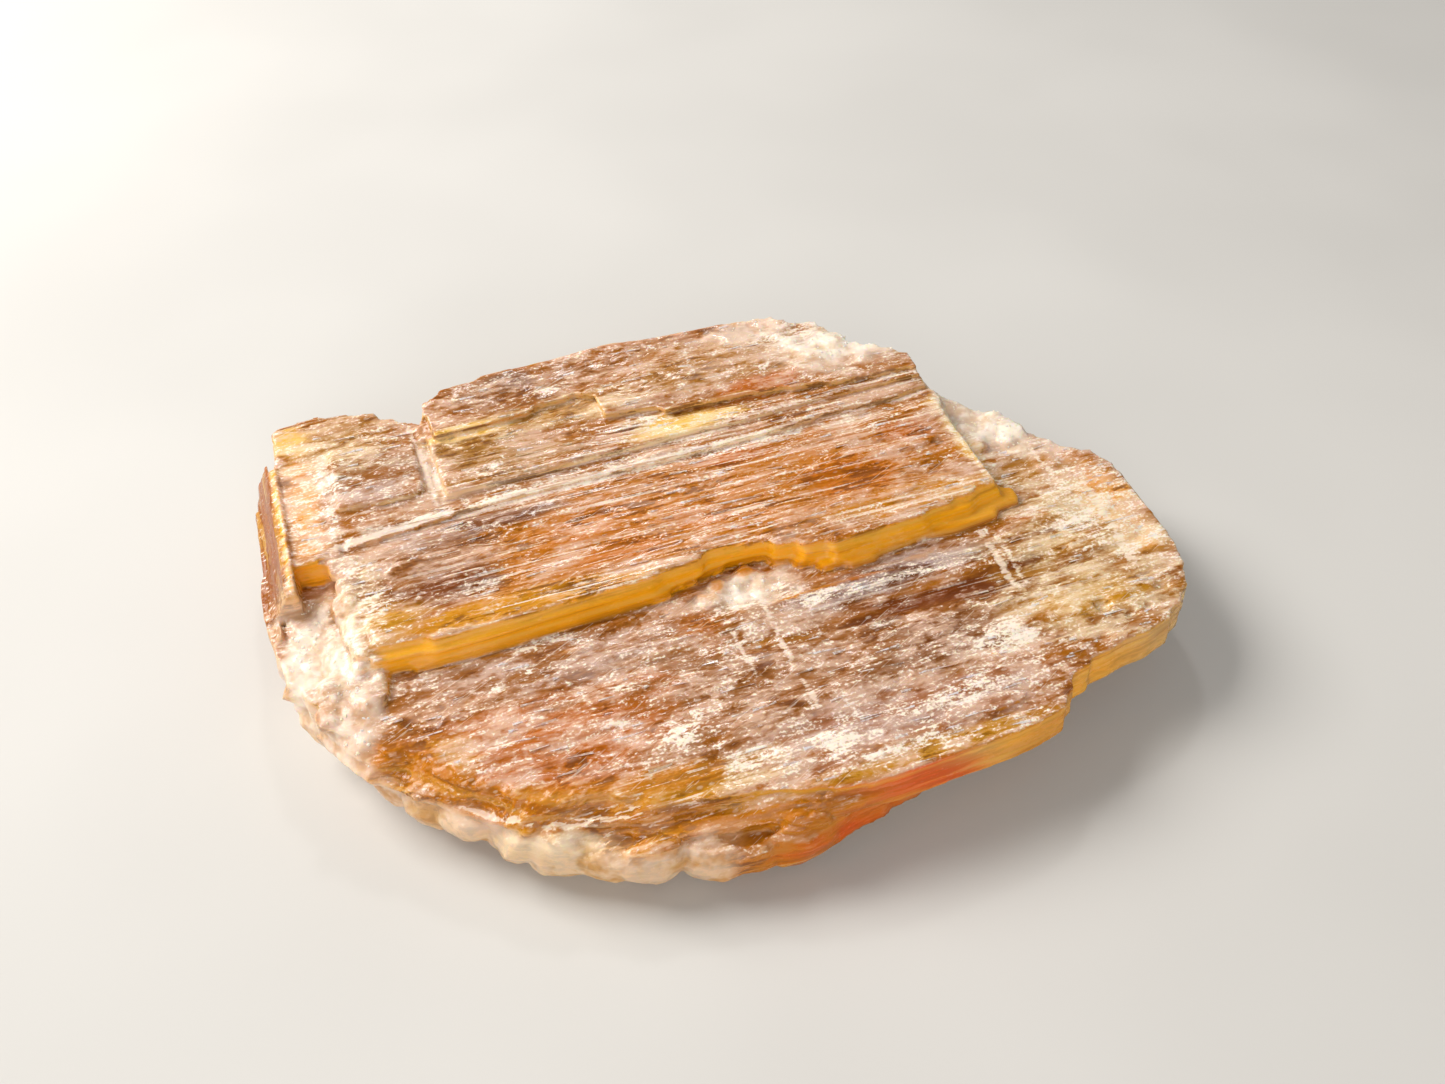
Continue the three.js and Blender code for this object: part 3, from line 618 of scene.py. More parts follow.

# %% [markdown]
# Pale seams run across the blades where the crystal once cracked and healed, and along the steps
# of the plate. Two white lines along the grey-purple face are painted glints, drawn as seams. Two
# amber lines follow the ledges of the front-left rim. The broken sides have a map of their own,
# because a side shows the stone's inside.

# %% Seams, amber lines and sides
SEAMS_AND_GLINT_LINES = [                            # pale lines: from, to, half width
    ((-1.0, -2.4), (-0.85, -5.4), 0.05), ((0.4, -2.2), (0.46, -7.7), 0.08),
    ((8.95, -2.2), (8.8, -5.9), 0.12), ((9.4, -2.4), (9.25, -5.2), 0.06),
    ((13.9, -0.9), (13.15, -6.2), 0.14), ((12.9, 1.2), (13.1, -3.6), 0.06),
    ((1.85, -2.2), (1.8, -4.6), 0.04),
    ((-9.0, 4.6), (-9.2, 9.2), 0.08), ((-0.3, 7.6), (-0.4, 10.0), 0.02),
    ((-12.6, 3.75), (-1.0, 4.22), 0.18), ((-1.0, 4.22), (9.8, 4.7), 0.1),
    ((-8.0, 4.75), (2.0, 4.95), 0.04), ((1.5, 5.15), (9.9, 5.6), 0.06),
    ((-11.8, -0.75), (-1.6, -0.5), 0.0), ((3.0, -1.2), (10.0, -0.6), 0.0),
    ((9.95, -0.9), (9.95, 5.4), 0.05), ((10.55, -0.6), (10.7, 4.8), 0.06),
    ((-5.4, 2.6), (-2.4, 4.0), -0.02), ((-2.0, 0.2), (-0.8, 3.2), -0.02),
    ((-10.9, -6.3), (-9.2, -7.9), 0.1), ((-9.2, -7.9), (-6.2, -8.9), 0.1),
    ((-9.0, -7.0), (-5.0, -7.5), 0.02),
    # these two are painted glints: white streaks along the grey-purple face
    ((2.2, -3.4), (8.6, -3.2), 0.0), ((3.0, -2.9), (6.6, -2.8), -0.02),
]
SEAM_FADE = 0.5
AMBER_LINES = [                      # amber ledges along the front-left rim
    [(-13.0, -4.3), (-11.6, -5.1), (-10.4, -6.6), (-8.6, -7.8), (-6.0, -8.2), (-3.4, -8.4)],
    [(-6.4, -9.0), (-4.6, -9.5), (-3.2, -10.1), (-0.6, -10.5)],
]
SIDE_PLACES = [
    (OCHRE, (-6.0, -9.0, 9.0, 2.6, 0.9)),
    (AMBER, (8.0, -9.4, 5.6, 1.8, 0.7)),
    (ORANGE, (-2.0, -10.6, 3.6, 1.6, 1.0)),
    (EMBER, (1.4, -10.6, 3.6, 1.5, 0.95)),
    (AMBER, (0.0, -1.6, 13.5, 1.6, 1.0)),
    (RED_ORANGE, (8.6, -1.8, 2.4, 0.8, 0.6)),
    (STRAW, (14.8, -3.0, 1.6, 5.0, 0.8)),
    (STRAW, (10.6, 2.2, 1.0, 3.4, 0.9)),
    (AMBER, (-13.5, 3.1, 1.0, 0.5, 0.9)),
    (STRAW, (-13.0, 6.4, 0.9, 3.0, 0.7)),
    (RUST, (-14.9, 5.6, 0.8, 4.0, 1.0)),
    (CREAM, (0.0, 4.6, 10.5, 0.9, 0.8)),
]
print("seams:", len(SEAMS_AND_GLINT_LINES), " side places:", len(SIDE_PLACES))

# %% [markdown]
# The next helpers turn the maps into numbers for each point. A seam is stored as a distance and
# not as a finished line, so that the material can draw it sharper than the mesh is fine.

# %% From maps to numbers
AMBER_REACH = (0.2, 0.65)  # mm from an amber line to where it starts and ends to fade


def seam_field(points, frayed):
    """1 on a seam's border, above 1 inside it, and falling by 1 over SEAM_FADE outside it."""
    wavy = points + np.array([0.06, 0.08, 0.0]) * frayed[:, None]
    field = np.zeros(len(points))
    for start, end, half_width in SEAMS_AND_GLINT_LINES:
        field = np.maximum(field, 1 - (far_from(wavy, [start, end]) - half_width) / SEAM_FADE)
    return field


def amber_mask(points, frayed):
    wavy = points + np.array([0.0, 0.35, 0.0]) * frayed[:, None]
    nearest = np.minimum(far_from(wavy, AMBER_LINES[0]), far_from(wavy, AMBER_LINES[1]))
    return 0.95 * (1 - smooth_between(*AMBER_REACH, nearest))


def sharpness(mesh, points, normals):
    """Above 0 where the surface bulges like an edge, below 0 where it is hollow."""
    return ((points - middles(mesh, points)) * normals).sum(axis=1)


def store(mesh, name, values):
    number = mesh.attributes.new(name, "FLOAT", "POINT")
    number.data.foreach_set("value", np.asarray(values, dtype=np.float32))


def store_colour(mesh, name, paint):
    layer = mesh.attributes.new(name, "FLOAT_COLOR", "POINT")
    layer.data.foreach_set("color", paint.astype(np.float32).ravel())


print("seams fade over", SEAM_FADE, "mm, amber lines are gone", AMBER_REACH[1], "mm away")

# %% [markdown]
# Colours are laid over each other like coats of thin paint. A coat has a tint and a share for
# each point, 1 where it covers and 0 where the coats below still show.

# %% Lay coats of paint
def over(paint, share, tint):
    share = share.reshape(-1, 1)
    return paint * (1 - share) + np.array(tint) * share


def laid_over(places, points, frayed, ground):
    paint = np.tile(np.array(ground), (len(points), 1))
    for tint, place in places:
        paint = over(paint, mask_of(place, points, frayed), tint)
    return paint


print("half a coat of straw over brown:", over(np.array(BROWN), np.array([0.5]), STRAW).round(2))

# %% [markdown]
# The riser is amber, with painted shade at its foot, red orange and then orange, and a painted
# straw highlight at the top, where light leaves it. The slope is banded honey and brown. The
# broken sides get their own map with fresh orange breaks in it, and the dark blade comes last.

# %% The stone's own colours
# heights of the riser's painted shade and painted highlight
RISER_SHADE, RISER_LIT = (3.3, 3.66), (3.8, 3.96)  # mm above the floor
SHADED_FOOT = (3.3, 3.62)


def riser_painted(paint, points, frayed):
    x, height = points[:, 0], points[:, 2]
    riser = riser_mask(points)
    # painted shade: red orange low on the riser's right part
    foot = (1 - smooth_between(*SHADED_FOOT, height)) * smooth_between(1.5, 4.0, x)
    paint = over(paint, riser, over(np.array(AMBER), foot, RED_ORANGE))
    # painted shade: orange at the riser's foot
    shaded = (1 - smooth_between(*RISER_SHADE, height)) * riser * 0.55
    paint = over(paint, shaded, ORANGE)
    # painted highlight: straw along the riser's top
    lit = smooth_between(*RISER_LIT, height + 0.12 * frayed) * riser * 0.5
    return over(paint, lit, STRAW)


def ground_paint(points, side, frayed, amber):
    """The stone's own colour at each point, with the riser's painted shade and highlight, before
    frost, dust and crust.
    """
    top = laid_over(GROUND_PLACES, points, frayed, HONEY)
    fresh = smooth_between(0.0, 0.3, wander(points, (0.25, 0.25, 1.2), 31))
    broken = laid_over(SIDE_PLACES, points, frayed * 0.5, BUFF)
    paint = over(top, side, over(broken, fresh * 0.5, ORANGE))
    paint = riser_painted(paint, points, frayed)
    banded = smooth_between(-0.15, 0.2, wander(points, (0.22, 1.2, 2.4), 41))
    bands = over(np.array(BROWN), banded, HONEY_GOLD)
    paint = over(paint, slope_mask(points) * 0.8, bands)
    paint = over(paint, amber, DEEP_AMBER)
    return over(paint, blade_mask(points) * 0.9, RED_BROWN)


print("the riser's light top starts", RISER_LIT[0], "mm above the floor")

# %% [markdown]
# The frost's tint has one more thing to say: low on the front-left rim, which faces away from the
# light, the tint and the crust turn ochre as painted shade. Glassy are the riser, the dark blade,
# the front of the small block, the broken front edge and, half, the amber ledges. Light passes
# through there, and frost is rare.

# %% The frost's tint and the glassy parts
# painted shade: below these heights the front-left rim is tinted ochre, where it faces away from
# the light
SHADE_PAINTED_BELOW = (1.6, 2.3)  # mm above the floor
BLOCK_FRONT = (-13.4, 3.1, 0.9, 0.5, 0.9)


def frost_tint_and_rim_shade(points, frayed):
    paint = laid_over(MIST_PLACES, points, frayed, PINK)
    low = 1 - smooth_between(*SHADE_PAINTED_BELOW, points[:, 2])
    front = 1 - smooth_between(-6.0, -3.0, points[:, 1])
    # painted shade: ochre low on the front-left rim
    return over(paint, low * front * 0.75, OCHRE)


def glassy_share(points, side, amber):
    front = smooth_between(-3.2, -1.6, points[:, 0])
    front = front * (1 - smooth_between(-8.0, -7.0, points[:, 1]))
    glassy = np.maximum(riser_mask(points), blade_mask(points))
    glassy = np.maximum(glassy, mask_of(BLOCK_FRONT, points, 0.0) * side)
    glassy = np.maximum(glassy, amber * 0.45)
    return np.maximum(glassy, side * front * 0.9)


# the ochre low on the front-left rim, printed here as stained, is painted shade
print("the crust is stained below", SHADE_PAINTED_BELOW[1], "mm")

# %% [markdown]
# Last, the maps are worked out for every point of a piece and stored in its mesh. A sliver has
# no sides of its own, and it is paler than the face that it lies on.

# %% Store the maps in the mesh
SHARP = 0.02  # mm that an edge stands out from the middle of its neighbours


def store_zones(piece, paler=0.0):
    """The map of the crystal as colours and numbers on the piece's points."""
    mesh = piece.data
    points, normals = points_of(mesh) / MM, normals_of(mesh)
    frayed = 0.5 * wander(points, (0.3, 1.4, 1.4), 21) + 0.35 * wander(points, (0.9, 4.0, 4.0), 22)
    side = (1 - smooth_between(0.45, 0.8, np.abs(normals[:, 2]))) * (paler == 0)
    amber = amber_mask(points, frayed)
    store_colour(mesh, "ground", ground_paint(points, side, frayed, amber))
    store_colour(mesh, "mist", frost_tint_and_rim_shade(points, frayed))
    frost = 0.5 + 0.5 * most_of(FROST_PLACES, points, frayed)
    frost -= 0.6 * most_of(CLEAR_PLACES, points, frayed)
    frost -= 0.55 * amber
    side = np.maximum(side, riser_mask(points))
    store(mesh, "frost", frost * (1 - side) + 0.1 * side + paler)
    store(mesh, "dust", most_of(DUST_PLACES, points, frayed))
    store(mesh, "fibrous", np.maximum(most_of(FIBROUS_PLACES, points, frayed), side))
    store(mesh, "seam", seam_field(points, frayed) * (1 - side))
    store(mesh, "glassy", glassy_share(points, side, amber))
    store(mesh, "crust", crust_mask(points))
    store(mesh, "side", side)
    store(mesh, "edge", np.clip(sharpness(mesh, points, normals) / SHARP, -1, 1))


store_zones(stone)
print("stored on the stone:", ", ".join(attribute.name for attribute in stone.data.attributes))

# %% [markdown]
# ## Writing a material as sums
#
# A material is a net of nodes, which is slow to read. So we wrap a node's socket in a small
# class that understands + - * and a few words. `streaks * 0.5 + 0.2` then adds the Math nodes
# by itself. Colours are blended by Mix nodes, and every other node comes from one method.

# %% A small language for shader maths
class Value:
    def __init__(self, net, socket):
        self.net = net
        self.socket = socket

    def math(self, operation, other=0.0, swap=False):
        first, second = (other, self) if swap else (self, other)
        return self.net.node("ShaderNodeMath", {"operation": operation}, {0: first, 1: second})

    def __add__(self, other):
        return self.math("ADD", other)

    def __radd__(self, other):
        return self.math("ADD", other, swap=True)

    def __sub__(self, other):
        return self.math("SUBTRACT", other)

    def __rsub__(self, other):
        return self.math("SUBTRACT", other, swap=True)

    def __mul__(self, other):
        return self.math("MULTIPLY", other)

    def __rmul__(self, other):
        return self.math("MULTIPLY", other, swap=True)

    def other(self, output):
        """Another output of the same node."""
        return Value(self.net, self.socket.node.outputs[output])

    def clamped(self):
        return self.math("MAXIMUM", 0.0).math("MINIMUM", 1.0)

    def between(self, low, high):
        """0 below low, 1 above high, and a soft rise between them."""
        settings = {"interpolation_type": "SMOOTHSTEP"}
        inputs = {"Value": self, "From Min": low, "From Max": high}
        return self.net.node("ShaderNodeMapRange", settings, inputs)


print("values can now be added and multiplied")

# %% [markdown]
# The net itself makes the nodes. It has one general method, node, and short ones for what the
# stone needs often: noise, cells, a number or a colour from the mesh, and a blend of two colours.

# %% The net of nodes
class Net:
    def __init__(self, name):
        self.material = bpy.data.materials.new(name)
        self.material.use_nodes = True
        self.tree = self.material.node_tree
        self.tree.nodes.clear()
        place = self.node("ShaderNodeTexCoord", {}, {}, output="Object")
        inputs = {0: place, 1: (1 / MM, 1 / MM, 1 / MM)}
        self.place = self.node("ShaderNodeVectorMath", {"operation": "MULTIPLY"}, inputs)

    def node(self, kind, settings, inputs, output=0):
        made = self.tree.nodes.new(kind)
        for name, value in settings.items():
            setattr(made, name, value)
        for name, value in inputs.items():
            self.connect(value, made.inputs[name])
        return Value(self, made.outputs[output])

    def connect(self, value, socket):
        if isinstance(value, Value):
            self.tree.links.new(value.socket, socket)
        else:
            socket.default_value = value

    def noise(self, per_mm, detail=2.0, roughness=0.5, twist=0.0, turn=0.0):
        """Noise with its own number of cycles per mm along x, y and z, turned about z."""
        settings = {"vector_type": "TEXTURE"}
        inputs = {"Vector": self.place, "Rotation": (0.0, 0.0, math.radians(turn)),
                  "Scale": tuple(1 / cycles for cycles in per_mm)}
        vector = self.node("ShaderNodeMapping", settings, inputs)
        inputs = {"Vector": vector, "Scale": 1.0, "Detail": detail, "Roughness": roughness,
                  "Distortion": twist}
        return self.node("ShaderNodeTexNoise", {}, inputs, output="Fac")

    def bent(self, per_mm, by):
        """The place on the piece, pushed about by a noise so that straight things turn crooked."""
        push = self.noise(per_mm, detail=2.0).other("Color")
        middle = {0: push, 1: (0.5, 0.5, 0.5)}
        centred = self.node("ShaderNodeVectorMath", {"operation": "SUBTRACT"}, middle)
        scaled = self.node("ShaderNodeVectorMath", {"operation": "MULTIPLY"}, {0: centred, 1: by})
        return self.node("ShaderNodeVectorMath", {"operation": "ADD"}, {0: self.place, 1: scaled})

    def cells(self, per_mm, place=None):
        """Cells of random size: the distance to the cell's heart, and with .other a colour."""
        settings = {"vector_type": "TEXTURE"}
        inputs = {"Vector": place or self.place, "Scale": tuple(1 / cycles for cycles in per_mm)}
        vector = self.node("ShaderNodeMapping", settings, inputs)
        inputs = {"Vector": vector, "Scale": 1.0}
        return self.node("ShaderNodeTexVoronoi", {}, inputs, output="Distance")

    def number(self, name):
        return self.node("ShaderNodeAttribute", {"attribute_name": name}, {}, output="Fac")

    def paint(self, name):
        return self.node("ShaderNodeAttribute", {"attribute_name": name}, {}, output="Color")

    def blend(self, share, first, second):
        inputs = {0: share, 6: first, 7: second}
        return self.node("ShaderNodeMix", {"data_type": "RGBA"}, inputs, output=2)

    def finish(self, shader):
        output = self.tree.nodes.new("ShaderNodeOutputMaterial")
        self.tree.links.new(shader.socket, output.inputs["Surface"])
        return self.material


print("the net can now make noises, cells, maps and blends")

# %% [markdown]
# ## The stone's material
#
# Kyanite is glassy and lets light in. A little subsurface scattering softens the colour, and the
# edges take on a honey glow. Over the ground lies frost: countless tiny steps that scatter light.
# It is densest along the fibres, so its noise is stretched along X, and grit breaks it up. Sharp
# edges catch it too, partly as frost on worn edges and partly as a painted highlight. White flecks
# come last, then the crust, which is matt and creamy.
#
# These layers share the maps on the mesh and a few noises, so the stone's net makes them once.

# %% The stone's maps and noises
class StoneNet(Net):
    def __init__(self, name):
        super().__init__(name)
        self.ground, self.mist = self.paint("ground"), self.paint("mist")
        self.frost, self.dust = self.number("frost"), self.number("dust")
        self.crust, self.seam = self.number("crust"), self.number("seam")
        self.side, self.edge = self.number("side"), self.number("edge")
        self.fibrous, self.glassy = self.number("fibrous"), self.number("glassy")
        self.dull = 1 - self.glassy * 0.85
        self.bulge = self.edge.math("MAXIMUM", 0.0)
        self.cloud = self.noise((0.5, 0.9, 0.9), detail=3.0, roughness=0.6)
        self.fibre = self.noise((0.35, 5.0, 5.0), detail=3.0, roughness=0.5, twist=0.1)
        self.blotch = self.noise((1.3, 2.7, 2.7), detail=3.5, roughness=0.55, twist=0.5)
        self.fine = self.noise((3.0, 13.0, 13.0), detail=2.0)
        self.grit = self.noise((9.0, 12.0, 12.0), detail=1.0)
        crooked = self.bent((1.2, 2.4, 2.4), (0.9, 0.3, 0.3))
        self.flakes = self.cells((0.7, 2.6, 2.6), crooked).other("Color")
        self.chips = self.cells((2.0, 6.5, 6.5), crooked).other("Color")
        self.weave = self.woven()
        # the edge term is partly frost on worn edges and partly a painted highlight on convex
        # edges
        self.veil = (self.weave + (self.frost - 0.5) * 0.14
                     + self.bulge * 0.08 * (1 - self.side))

    def woven(self):
        """Fibres where the face is fibrous and blotches elsewhere, broken up by finer grain."""
        weave = (self.fibre * self.fibrous + self.blotch * (1 - self.fibrous)) * 0.46
        weave = weave + self.fine * 0.08 + self.grit * 0.08 + self.cloud * 0.38
        weave = weave + (self.flakes - 0.5) * 0.06 + (self.chips - 0.5) * 0.06
        return weave + (self.fine - 0.5) * self.fibrous * 0.14


print("the stone's net reads 8 numbers and 2 colours from the mesh")

# %% [markdown]
# The veil says how thick the frost lies. Where it is thick the ground turns misty, and in its
# gaps the ground looks darker than it is. Larger patches are clouded or bare. On the broken sides
# the laminae show as pale courses, and glassy parts have light and dark bands instead of frost.

# %% Frost, courses and glassy bands
def frosted(net):
    gaps = (0.465 - net.veil).between(0.0, 0.08) * 0.72 * net.dull
    deep = net.blend(gaps, net.ground, DUSK)
    misty = net.blend(0.64, net.ground, net.mist)
    covered = net.veil.between(0.44, 0.58) * (1 - net.side * 0.6) * net.dull
    skin = net.blend(covered, deep, misty)
    patch = net.noise((0.45, 1.3, 1.3), detail=3.0, roughness=0.55, twist=0.3)
    clouded = patch.between(0.52, 0.66) * net.frost.between(-0.1, 0.5) * net.dull * 0.3
    skin = net.blend(clouded, skin, net.mist)
    bare = (0.49 - patch).between(0.0, 0.12) * (1 - net.side) * 0.65
    return net.blend(bare, skin, net.ground)


def banded_sides(net, skin):
    courses = net.noise((0.3, 0.3, 10.0), detail=3.0)
    skin = net.blend(net.side * courses.between(0.55, 0.7) * 0.4 * net.dull, skin, PEACH)
    glow = net.noise((0.1, 0.25, 5.0), detail=2.5)
    skin = net.blend(net.glassy * glow.between(0.52, 0.64) * 0.4, skin, STRAW)
    return net.blend(net.glassy * (0.47 - glow).between(0.0, 0.1) * 0.45, skin, BROWN)


print("frost and bands are ready to be laid on")

# %% [markdown]
# White comes in four kinds: soft powder on the dusty places, thick flecks, single white dots that
# are painted glints, and thin scratches that cross the blades at a slant. Then come the seams,
# torn by noise, and on the fibrous faces white strands with bare ones between them.

# %% White flecks, seams and strands
SCRATCH_TURN = 27.0  # degrees from the blades' direction


def flecked(net, skin):
    powder = net.dust * (net.blotch * 0.5 + net.fine * 0.3 + net.chips * 0.2).between(0.4, 0.6)
    skin = net.blend(powder * net.dull * 0.6, skin, WHITE)
    thick = net.grit * 0.34 + net.blotch * 0.28 + net.fine * 0.24 + net.chips * 0.1 + 0.02
    # the edge term here is partly frost on worn edges and partly a painted highlight
    thick = thick + net.dust * 0.09 + net.bulge * 0.04 + (net.frost - 0.5) * 0.1
    flecks = thick.between(0.535, 0.645) * (1 - net.side * 0.6) * net.dull * 0.95
    skin = net.blend(flecks, skin, WHITE)
    # painted glints: single white dots in chosen cells
    painted_glints = net.cells((2.4, 5.0, 5.0))
    chosen = painted_glints.other("Color").between(0.66, 0.8) * (1 - net.side)
    skin = net.blend(chosen * (0.32 - painted_glints).between(0.0, 0.15) * 0.25, skin, WHITE)
    scratch = net.noise((0.2, 12.0, 12.0), detail=1.0, turn=SCRATCH_TURN)
    return net.blend(scratch.between(0.66, 0.74) * 0.3 * (1 - net.side), skin, WHITE)


def lined(net, skin):
    torn = net.seam + (net.fine - 0.5) * 0.3 + (net.grit - 0.5) * 0.3 + (net.blotch - 0.5) * 0.55
    skin = net.blend(torn.between(0.88, 1.08) * 0.7, skin, net.blend(0.7, net.mist, WHITE))
    streak = net.noise((0.14, 8.0, 8.0), detail=2.0, roughness=0.6)
    strands = net.fibrous * (1 - net.side)
    skin = net.blend((streak + net.grit * 0.15).between(0.65, 0.73) * strands * 0.8, skin, WHITE)
    return net.blend((0.44 - streak).between(0.0, 0.08) * strands * 0.65, skin, net.ground)


print("scratches run", SCRATCH_TURN, "degrees off the blades")

# %% [markdown]
# The crust is a mineral of its own, creamy and tan at random, lighter on its bulges and darker in
# its hollows, which is painted light and shade. It is also rougher than the crystal. The crystal's
# gloss comes from a thin clear coat, the low relief from a Bump node, and the soft glow from
# subsurface scattering, which needs no view direction.

# %% The crust and the whole finish
SCATTER = 0.4  # mm that light travels inside the stone


def crusted(net, skin):
    # the noise is random tone; the edge number adds painted light on bulges and painted shade in
    # hollows
    lump = net.noise((1.0, 1.0, 1.0), detail=3.0) + net.edge * 0.12
    shade = net.blend(0.45, CRUST_SHADE, net.mist)
    light = net.blend(0.5, CRUST_LIGHT, net.mist)
    return net.blend(net.crust * 0.9, skin, net.blend(lump.between(0.34, 0.58), shade, light))


def bumped(net):
    grain = net.noise((4.0, 4.0, 4.0), detail=3.0, roughness=0.6)
    weave = net.weave * 0.4 + net.fine * 0.2 + net.grit * 0.4
    relief = weave * (1 - net.crust) * net.dull + grain * net.crust * 0.7
    inputs = {"Height": relief, "Strength": 0.6, "Distance": 0.04 * MM}
    return net.node("ShaderNodeBump", {}, inputs, output="Normal")


def stone_material(name):
    net = StoneNet(name)
    skin = banded_sides(net, frosted(net))
    skin = crusted(net, lined(net, flecked(net, skin)))
    rough = 0.25 + net.cloud * 0.15 + net.veil.between(0.44, 0.6) * 0.15
    rough = (rough - net.side * 0.1 + net.crust * 0.3).clamped()
    shader = net.node("ShaderNodeBsdfPrincipled", {}, {
        "Base Color": skin, "Roughness": rough, "IOR": 1.5, "Normal": bumped(net),
        "Specular IOR Level": 0.2, "Coat Weight": 0.3 - net.glassy * 0.22,
        "Coat Roughness": 0.12, "Subsurface Weight": 0.4,
        "Subsurface Radius": (1.0, 0.5, 0.15), "Subsurface Scale": SCATTER * MM})
    return net.finish(shader)


print("light travels about", SCATTER, "mm inside the stone")

# %% [markdown]
# The dressed stone takes the place of the fixed model's stone, so it rides on the same body.

# %% Dress the stone
kyanite = stone_material("kyanite")
stone.data.materials.clear()
stone.data.materials.append(kyanite)
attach(stone, "root")
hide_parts("kyanite_crystal")
print("the stone's material has", len(kyanite.node_tree.nodes), "nodes")

# %% [markdown]
# ## Cleavage slivers
#
# Where kyanite cleaves it leaves slivers, thin as a hair and lying along the blades. They catch
# light that the smooth skin doesn't. Modelling hundreds by hand is slow, so one sliver is a
# flat four-sided spike, and we repeat it with its own length, width and small turn. The spots
# are picked among the skin's own points, so that every sliver sits in the surface.
#
# First come the helpers that pick the spots and repeat a small shape.

# %% Repeat a small shape
BATCH = 100


def picked(piece, count, worth, seed):
    """Places and normals of randomly picked points, more often where the worth is high."""
    chance = np.maximum(worth, 0)
    chosen = np.random.default_rng(seed).choice(len(chance), count, p=chance / chance.sum())
    return points_of(piece.data)[chosen] / MM, normals_of(piece.data)[chosen]


def repeated(name, shapes, make):
    """One mesh of many small shapes, made in batches, since operators slow down on big meshes."""
    bulk = bmesh.new()
    for first in range(0, len(shapes), BATCH):
        batch = bmesh.new()
        for shape in shapes[first:first + BATCH]:
            make(batch, shape)
        mesh = bpy.data.meshes.new("batch")
        batch.to_mesh(mesh)
        batch.free()
        bulk.from_mesh(mesh)
        bpy.data.meshes.remove(mesh)
    bmesh.ops.scale(bulk, verts=bulk.verts, vec=(MM, MM, MM))
    mesh = bpy.data.meshes.new(name)
    bulk.to_mesh(mesh)
    bulk.free()
    return link(name, mesh)


def number_of(mesh, name):
    values = np.empty(len(mesh.vertices))
    mesh.attributes[name].data.foreach_get("value", values)
    return values


print("up to", BATCH, "small shapes are made at a time")

# %% [markdown]
# A sliver must lie flat: where the face drops away under one of its ends it would stick out like
# a splinter. So a ray is sent down at both ends, and a sliver that fails the test is dropped.

# %% One sliver, and where it may lie
LEVEL = 0.04  # mm that the face under a sliver's end may rise or fall
ABOVE_ALL = 9.0  # mm, where the rays start


def turned(turn, tilt):
    return Matrix.Rotation(turn, 4, "Z") @ Matrix.Rotation(tilt, 4, "X")


def make_sliver(batch, shape):
    place, length, width, height, turn, tilt = shape
    matrix = (Matrix.Translation(place) @ turned(turn, tilt)
              @ Matrix.Diagonal((length, width, height, 1)) @ Matrix.Rotation(math.pi / 2, 4, "Y")
              @ Matrix.Rotation(math.pi / 4, 4, "Z"))
    bmesh.ops.create_cone(batch, cap_ends=True, segments=4, radius1=0.7, radius2=0.2, depth=1.0,
                          matrix=matrix)


corners = [face.vertices for face in stone.data.polygons]
tree = BVHTree.FromPolygons((points_of(stone.data) / MM).tolist(), corners)


def lies_flat(place, length):
    """Whether the stone's face is level under both ends of a sliver."""
    for end in (-0.6, 0.6):
        above = Vector((place[0] + end * length, place[1], ABOVE_ALL))
        hit = tree.ray_cast(above, Vector((0, 0, -1)))[0]
        if hit is None or abs(hit.z - place[2]) > LEVEL:
            return False
    return True


print("a sliver's ends may lie", LEVEL, "mm off the face")

# %% [markdown]
# Slivers lie on the crystal's broad faces and not on crust or glassy parts, and more of them
# where frost and sharp edges are. So every point of the skin gets a worth, and the spots are
# drawn by it.

# %% Slivers on the broad faces
SLIVERS = 350
SLIVER_LENGTH, SLIVER_WIDTH, SLIVER_HEIGHT = (0.15, 0.9), (0.04, 0.12), (0.01, 0.02)  # mm

upward = normals_of(stone.data)[:, 2] > 0.93
inland = (1 - number_of(stone.data, "crust")) * (number_of(stone.data, "glassy") < 0.1)
bulging = np.maximum(number_of(stone.data, "edge"), 0)
worth = upward * inland * (0.25 + number_of(stone.data, "frost") + 2 * bulging)
chance = random.Random(5)
shapes = []
for place, normal in zip(*picked(stone, 3 * SLIVERS, worth, 5)):
    length = chance.uniform(*SLIVER_LENGTH) * chance.choice((1, 1, 1, 1.8))
    if len(shapes) < SLIVERS and lies_flat(place, length):
        width, height = chance.uniform(*SLIVER_WIDTH), chance.uniform(*SLIVER_HEIGHT)
        turn = chance.gauss(0, 0.05) + chance.choice((0, math.pi))
        shapes.append((Vector(place), length, width, height, turn, chance.gauss(0, 0.2)))
slivers = repeated("cleavage_slivers", shapes, make_sliver)
store_zones(slivers, paler=0.5)
slivers.data.materials.append(kyanite)
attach(slivers, "root")
print("slivers:", len(shapes), "in", len(slivers.data.polygons), "faces")

# %% [markdown]
# ## Grains of crust and dust
#
# The crust crumbles into small grains, and white powder lies on the terraces. Each grain is an
# icosphere of 20 faces, squashed and turned at random. Larger grains go on the crust and the
# smallest on the dusty places.

# %% Grains
CRUST_GRAINS = 500
DUST_GRAINS = 600
GRAINS_ABOVE = 2.6  # mm; lower down they would have fallen off
CRUST_GRAIN, DUST_GRAIN = (0.04, 0.1), (0.02, 0.05)  # mm, smallest and largest


def make_grain(batch, shape):
    place, size, turn, tilt, squash = shape
    matrix = (Matrix.Translation(place) @ turned(turn, tilt)
              @ Matrix.Diagonal((size, size * squash, size * 0.6, 1)))
    bmesh.ops.create_icosphere(batch, subdivisions=1, radius=1.0, matrix=matrix)


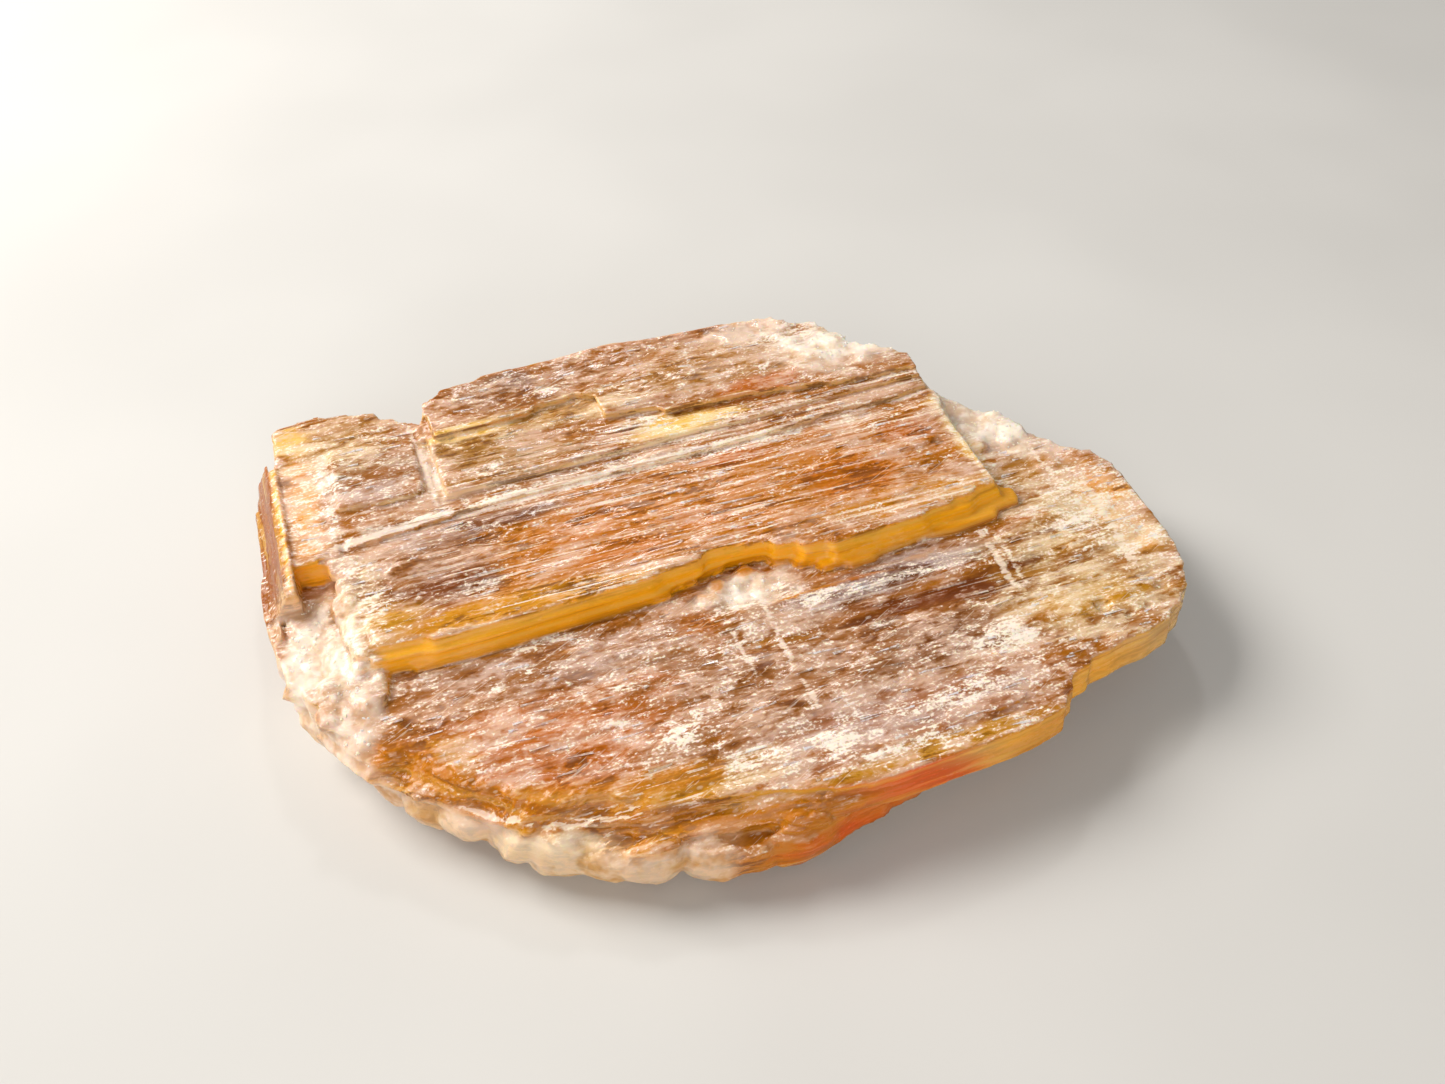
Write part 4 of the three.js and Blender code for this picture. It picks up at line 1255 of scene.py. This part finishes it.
def grain_material(name):
    net = Net(name)
    tone = net.noise((1.2, 1.2, 1.2), detail=3.0)
    skin = net.blend(tone.between(0.36, 0.6), CREAM, WHITE)
    return net.finish(net.node("ShaderNodeBsdfPrincipled", {}, {
        "Base Color": skin, "Roughness": 0.6, "Specular IOR Level": 0.2,
        "Subsurface Weight": 0.4, "Subsurface Radius": (1.0, 0.6, 0.3),
        "Subsurface Scale": 0.3 * MM}))


shapes = []
above = normals_of(stone.data)[:, 2] > 0.4
above = above * (points_of(stone.data)[:, 2] > GRAINS_ABOVE * MM)
crust_worth = above * np.maximum(number_of(stone.data, "crust") - 0.4, 0)
dust_worth = upward * np.maximum(number_of(stone.data, "dust") - 0.3, 0)
sorts = ((CRUST_GRAINS, crust_worth, CRUST_GRAIN), (DUST_GRAINS, dust_worth, DUST_GRAIN))
for seed, (count, worth, reach) in enumerate(sorts, 40):
    for place, normal in zip(*picked(stone, count, worth, seed)):
        size = chance.uniform(*reach) * chance.uniform(0.6, 1.0)
        place = Vector(place) - Vector(normal) * size * 0.3
        turn, tilt, squash = chance.uniform(0, 6), chance.uniform(-1, 1), chance.uniform(0.5, 1)
        shapes.append((place, size, turn, tilt, squash))
grains = repeated("crust_grains", shapes, make_grain)
grains.data.materials.append(grain_material("crust_grain"))
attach(grains, "root")
print("grains:", len(shapes), "in", len(grains.data.polygons), "faces")

# %% [markdown]
# ## Floor and light
#
# The stone lies on a plain pale floor. A broad soft light behind it to the left skims over the
# cleavage faces towards the lens, which brings out their pearly sheen. A weak one in front
# keeps the near rim readable, and a small one behind adds glints.

# %% The floor
FLOOR_REACH = 600  # mm


def floor_material():
    net = Net("floor_paint")
    tone = net.noise((0.05, 0.05, 0.05), detail=2.0)
    pale = net.blend(tone.between(0.3, 0.7), colour(206, 204, 200), colour(212, 210, 206))
    inputs = {"Base Color": pale, "Roughness": 0.8}
    return net.finish(net.node("ShaderNodeBsdfPrincipled", {}, inputs))


sheet = bmesh.new()
bmesh.ops.create_grid(sheet, x_segments=1, y_segments=1, size=FLOOR_REACH * MM)
floor_mesh = bpy.data.meshes.new("floor")
sheet.to_mesh(floor_mesh)
sheet.free()
floor = link("floor", floor_mesh)
floor_mesh.materials.append(floor_material())
print("the floor reaches", FLOOR_REACH, "mm")

# %% [markdown]
# A small stone calls for small, near lights: the whole set fits on a desk. Their size, and not
# their power, makes a shadow soft, and a faint sky fills the rest.

# %% Lights and sky
WINDOW, FILL, GLINT = 0.44, 0.16, 0.03  # watts
SKY = 0.235


def soft_light(name, place, size, power, tint=(1, 1, 1)):
    lamp = bpy.data.lights.new(name, "AREA")
    lamp.energy = power
    lamp.size = size * MM
    lamp.color = tint
    lamp_object = bpy.data.objects.new(name, lamp)
    lamp_object.location = Vector(place) * MM
    lamp_object.rotation_euler = (-lamp_object.location).to_track_quat("-Z", "Y").to_euler()
    bpy.context.scene.collection.objects.link(lamp_object)


soft_light("window", (-110, 95, 125), 100, WINDOW, (1.0, 0.97, 0.93))
soft_light("fill", (-50, -150, 75), 140, FILL, (1.0, 0.98, 0.95))
soft_light("glint", (30, 120, 135), 14, GLINT)
world = bpy.data.worlds.new("studio")
world.use_nodes = True
world.node_tree.nodes["Background"].inputs["Color"].default_value = (1.0, 0.98, 0.95, 1.0)
world.node_tree.nodes["Background"].inputs["Strength"].default_value = SKY
bpy.context.scene.world = world
bpy.context.scene.view_settings.view_transform = "Standard"
print("three lights, the strongest of", WINDOW, "watts")
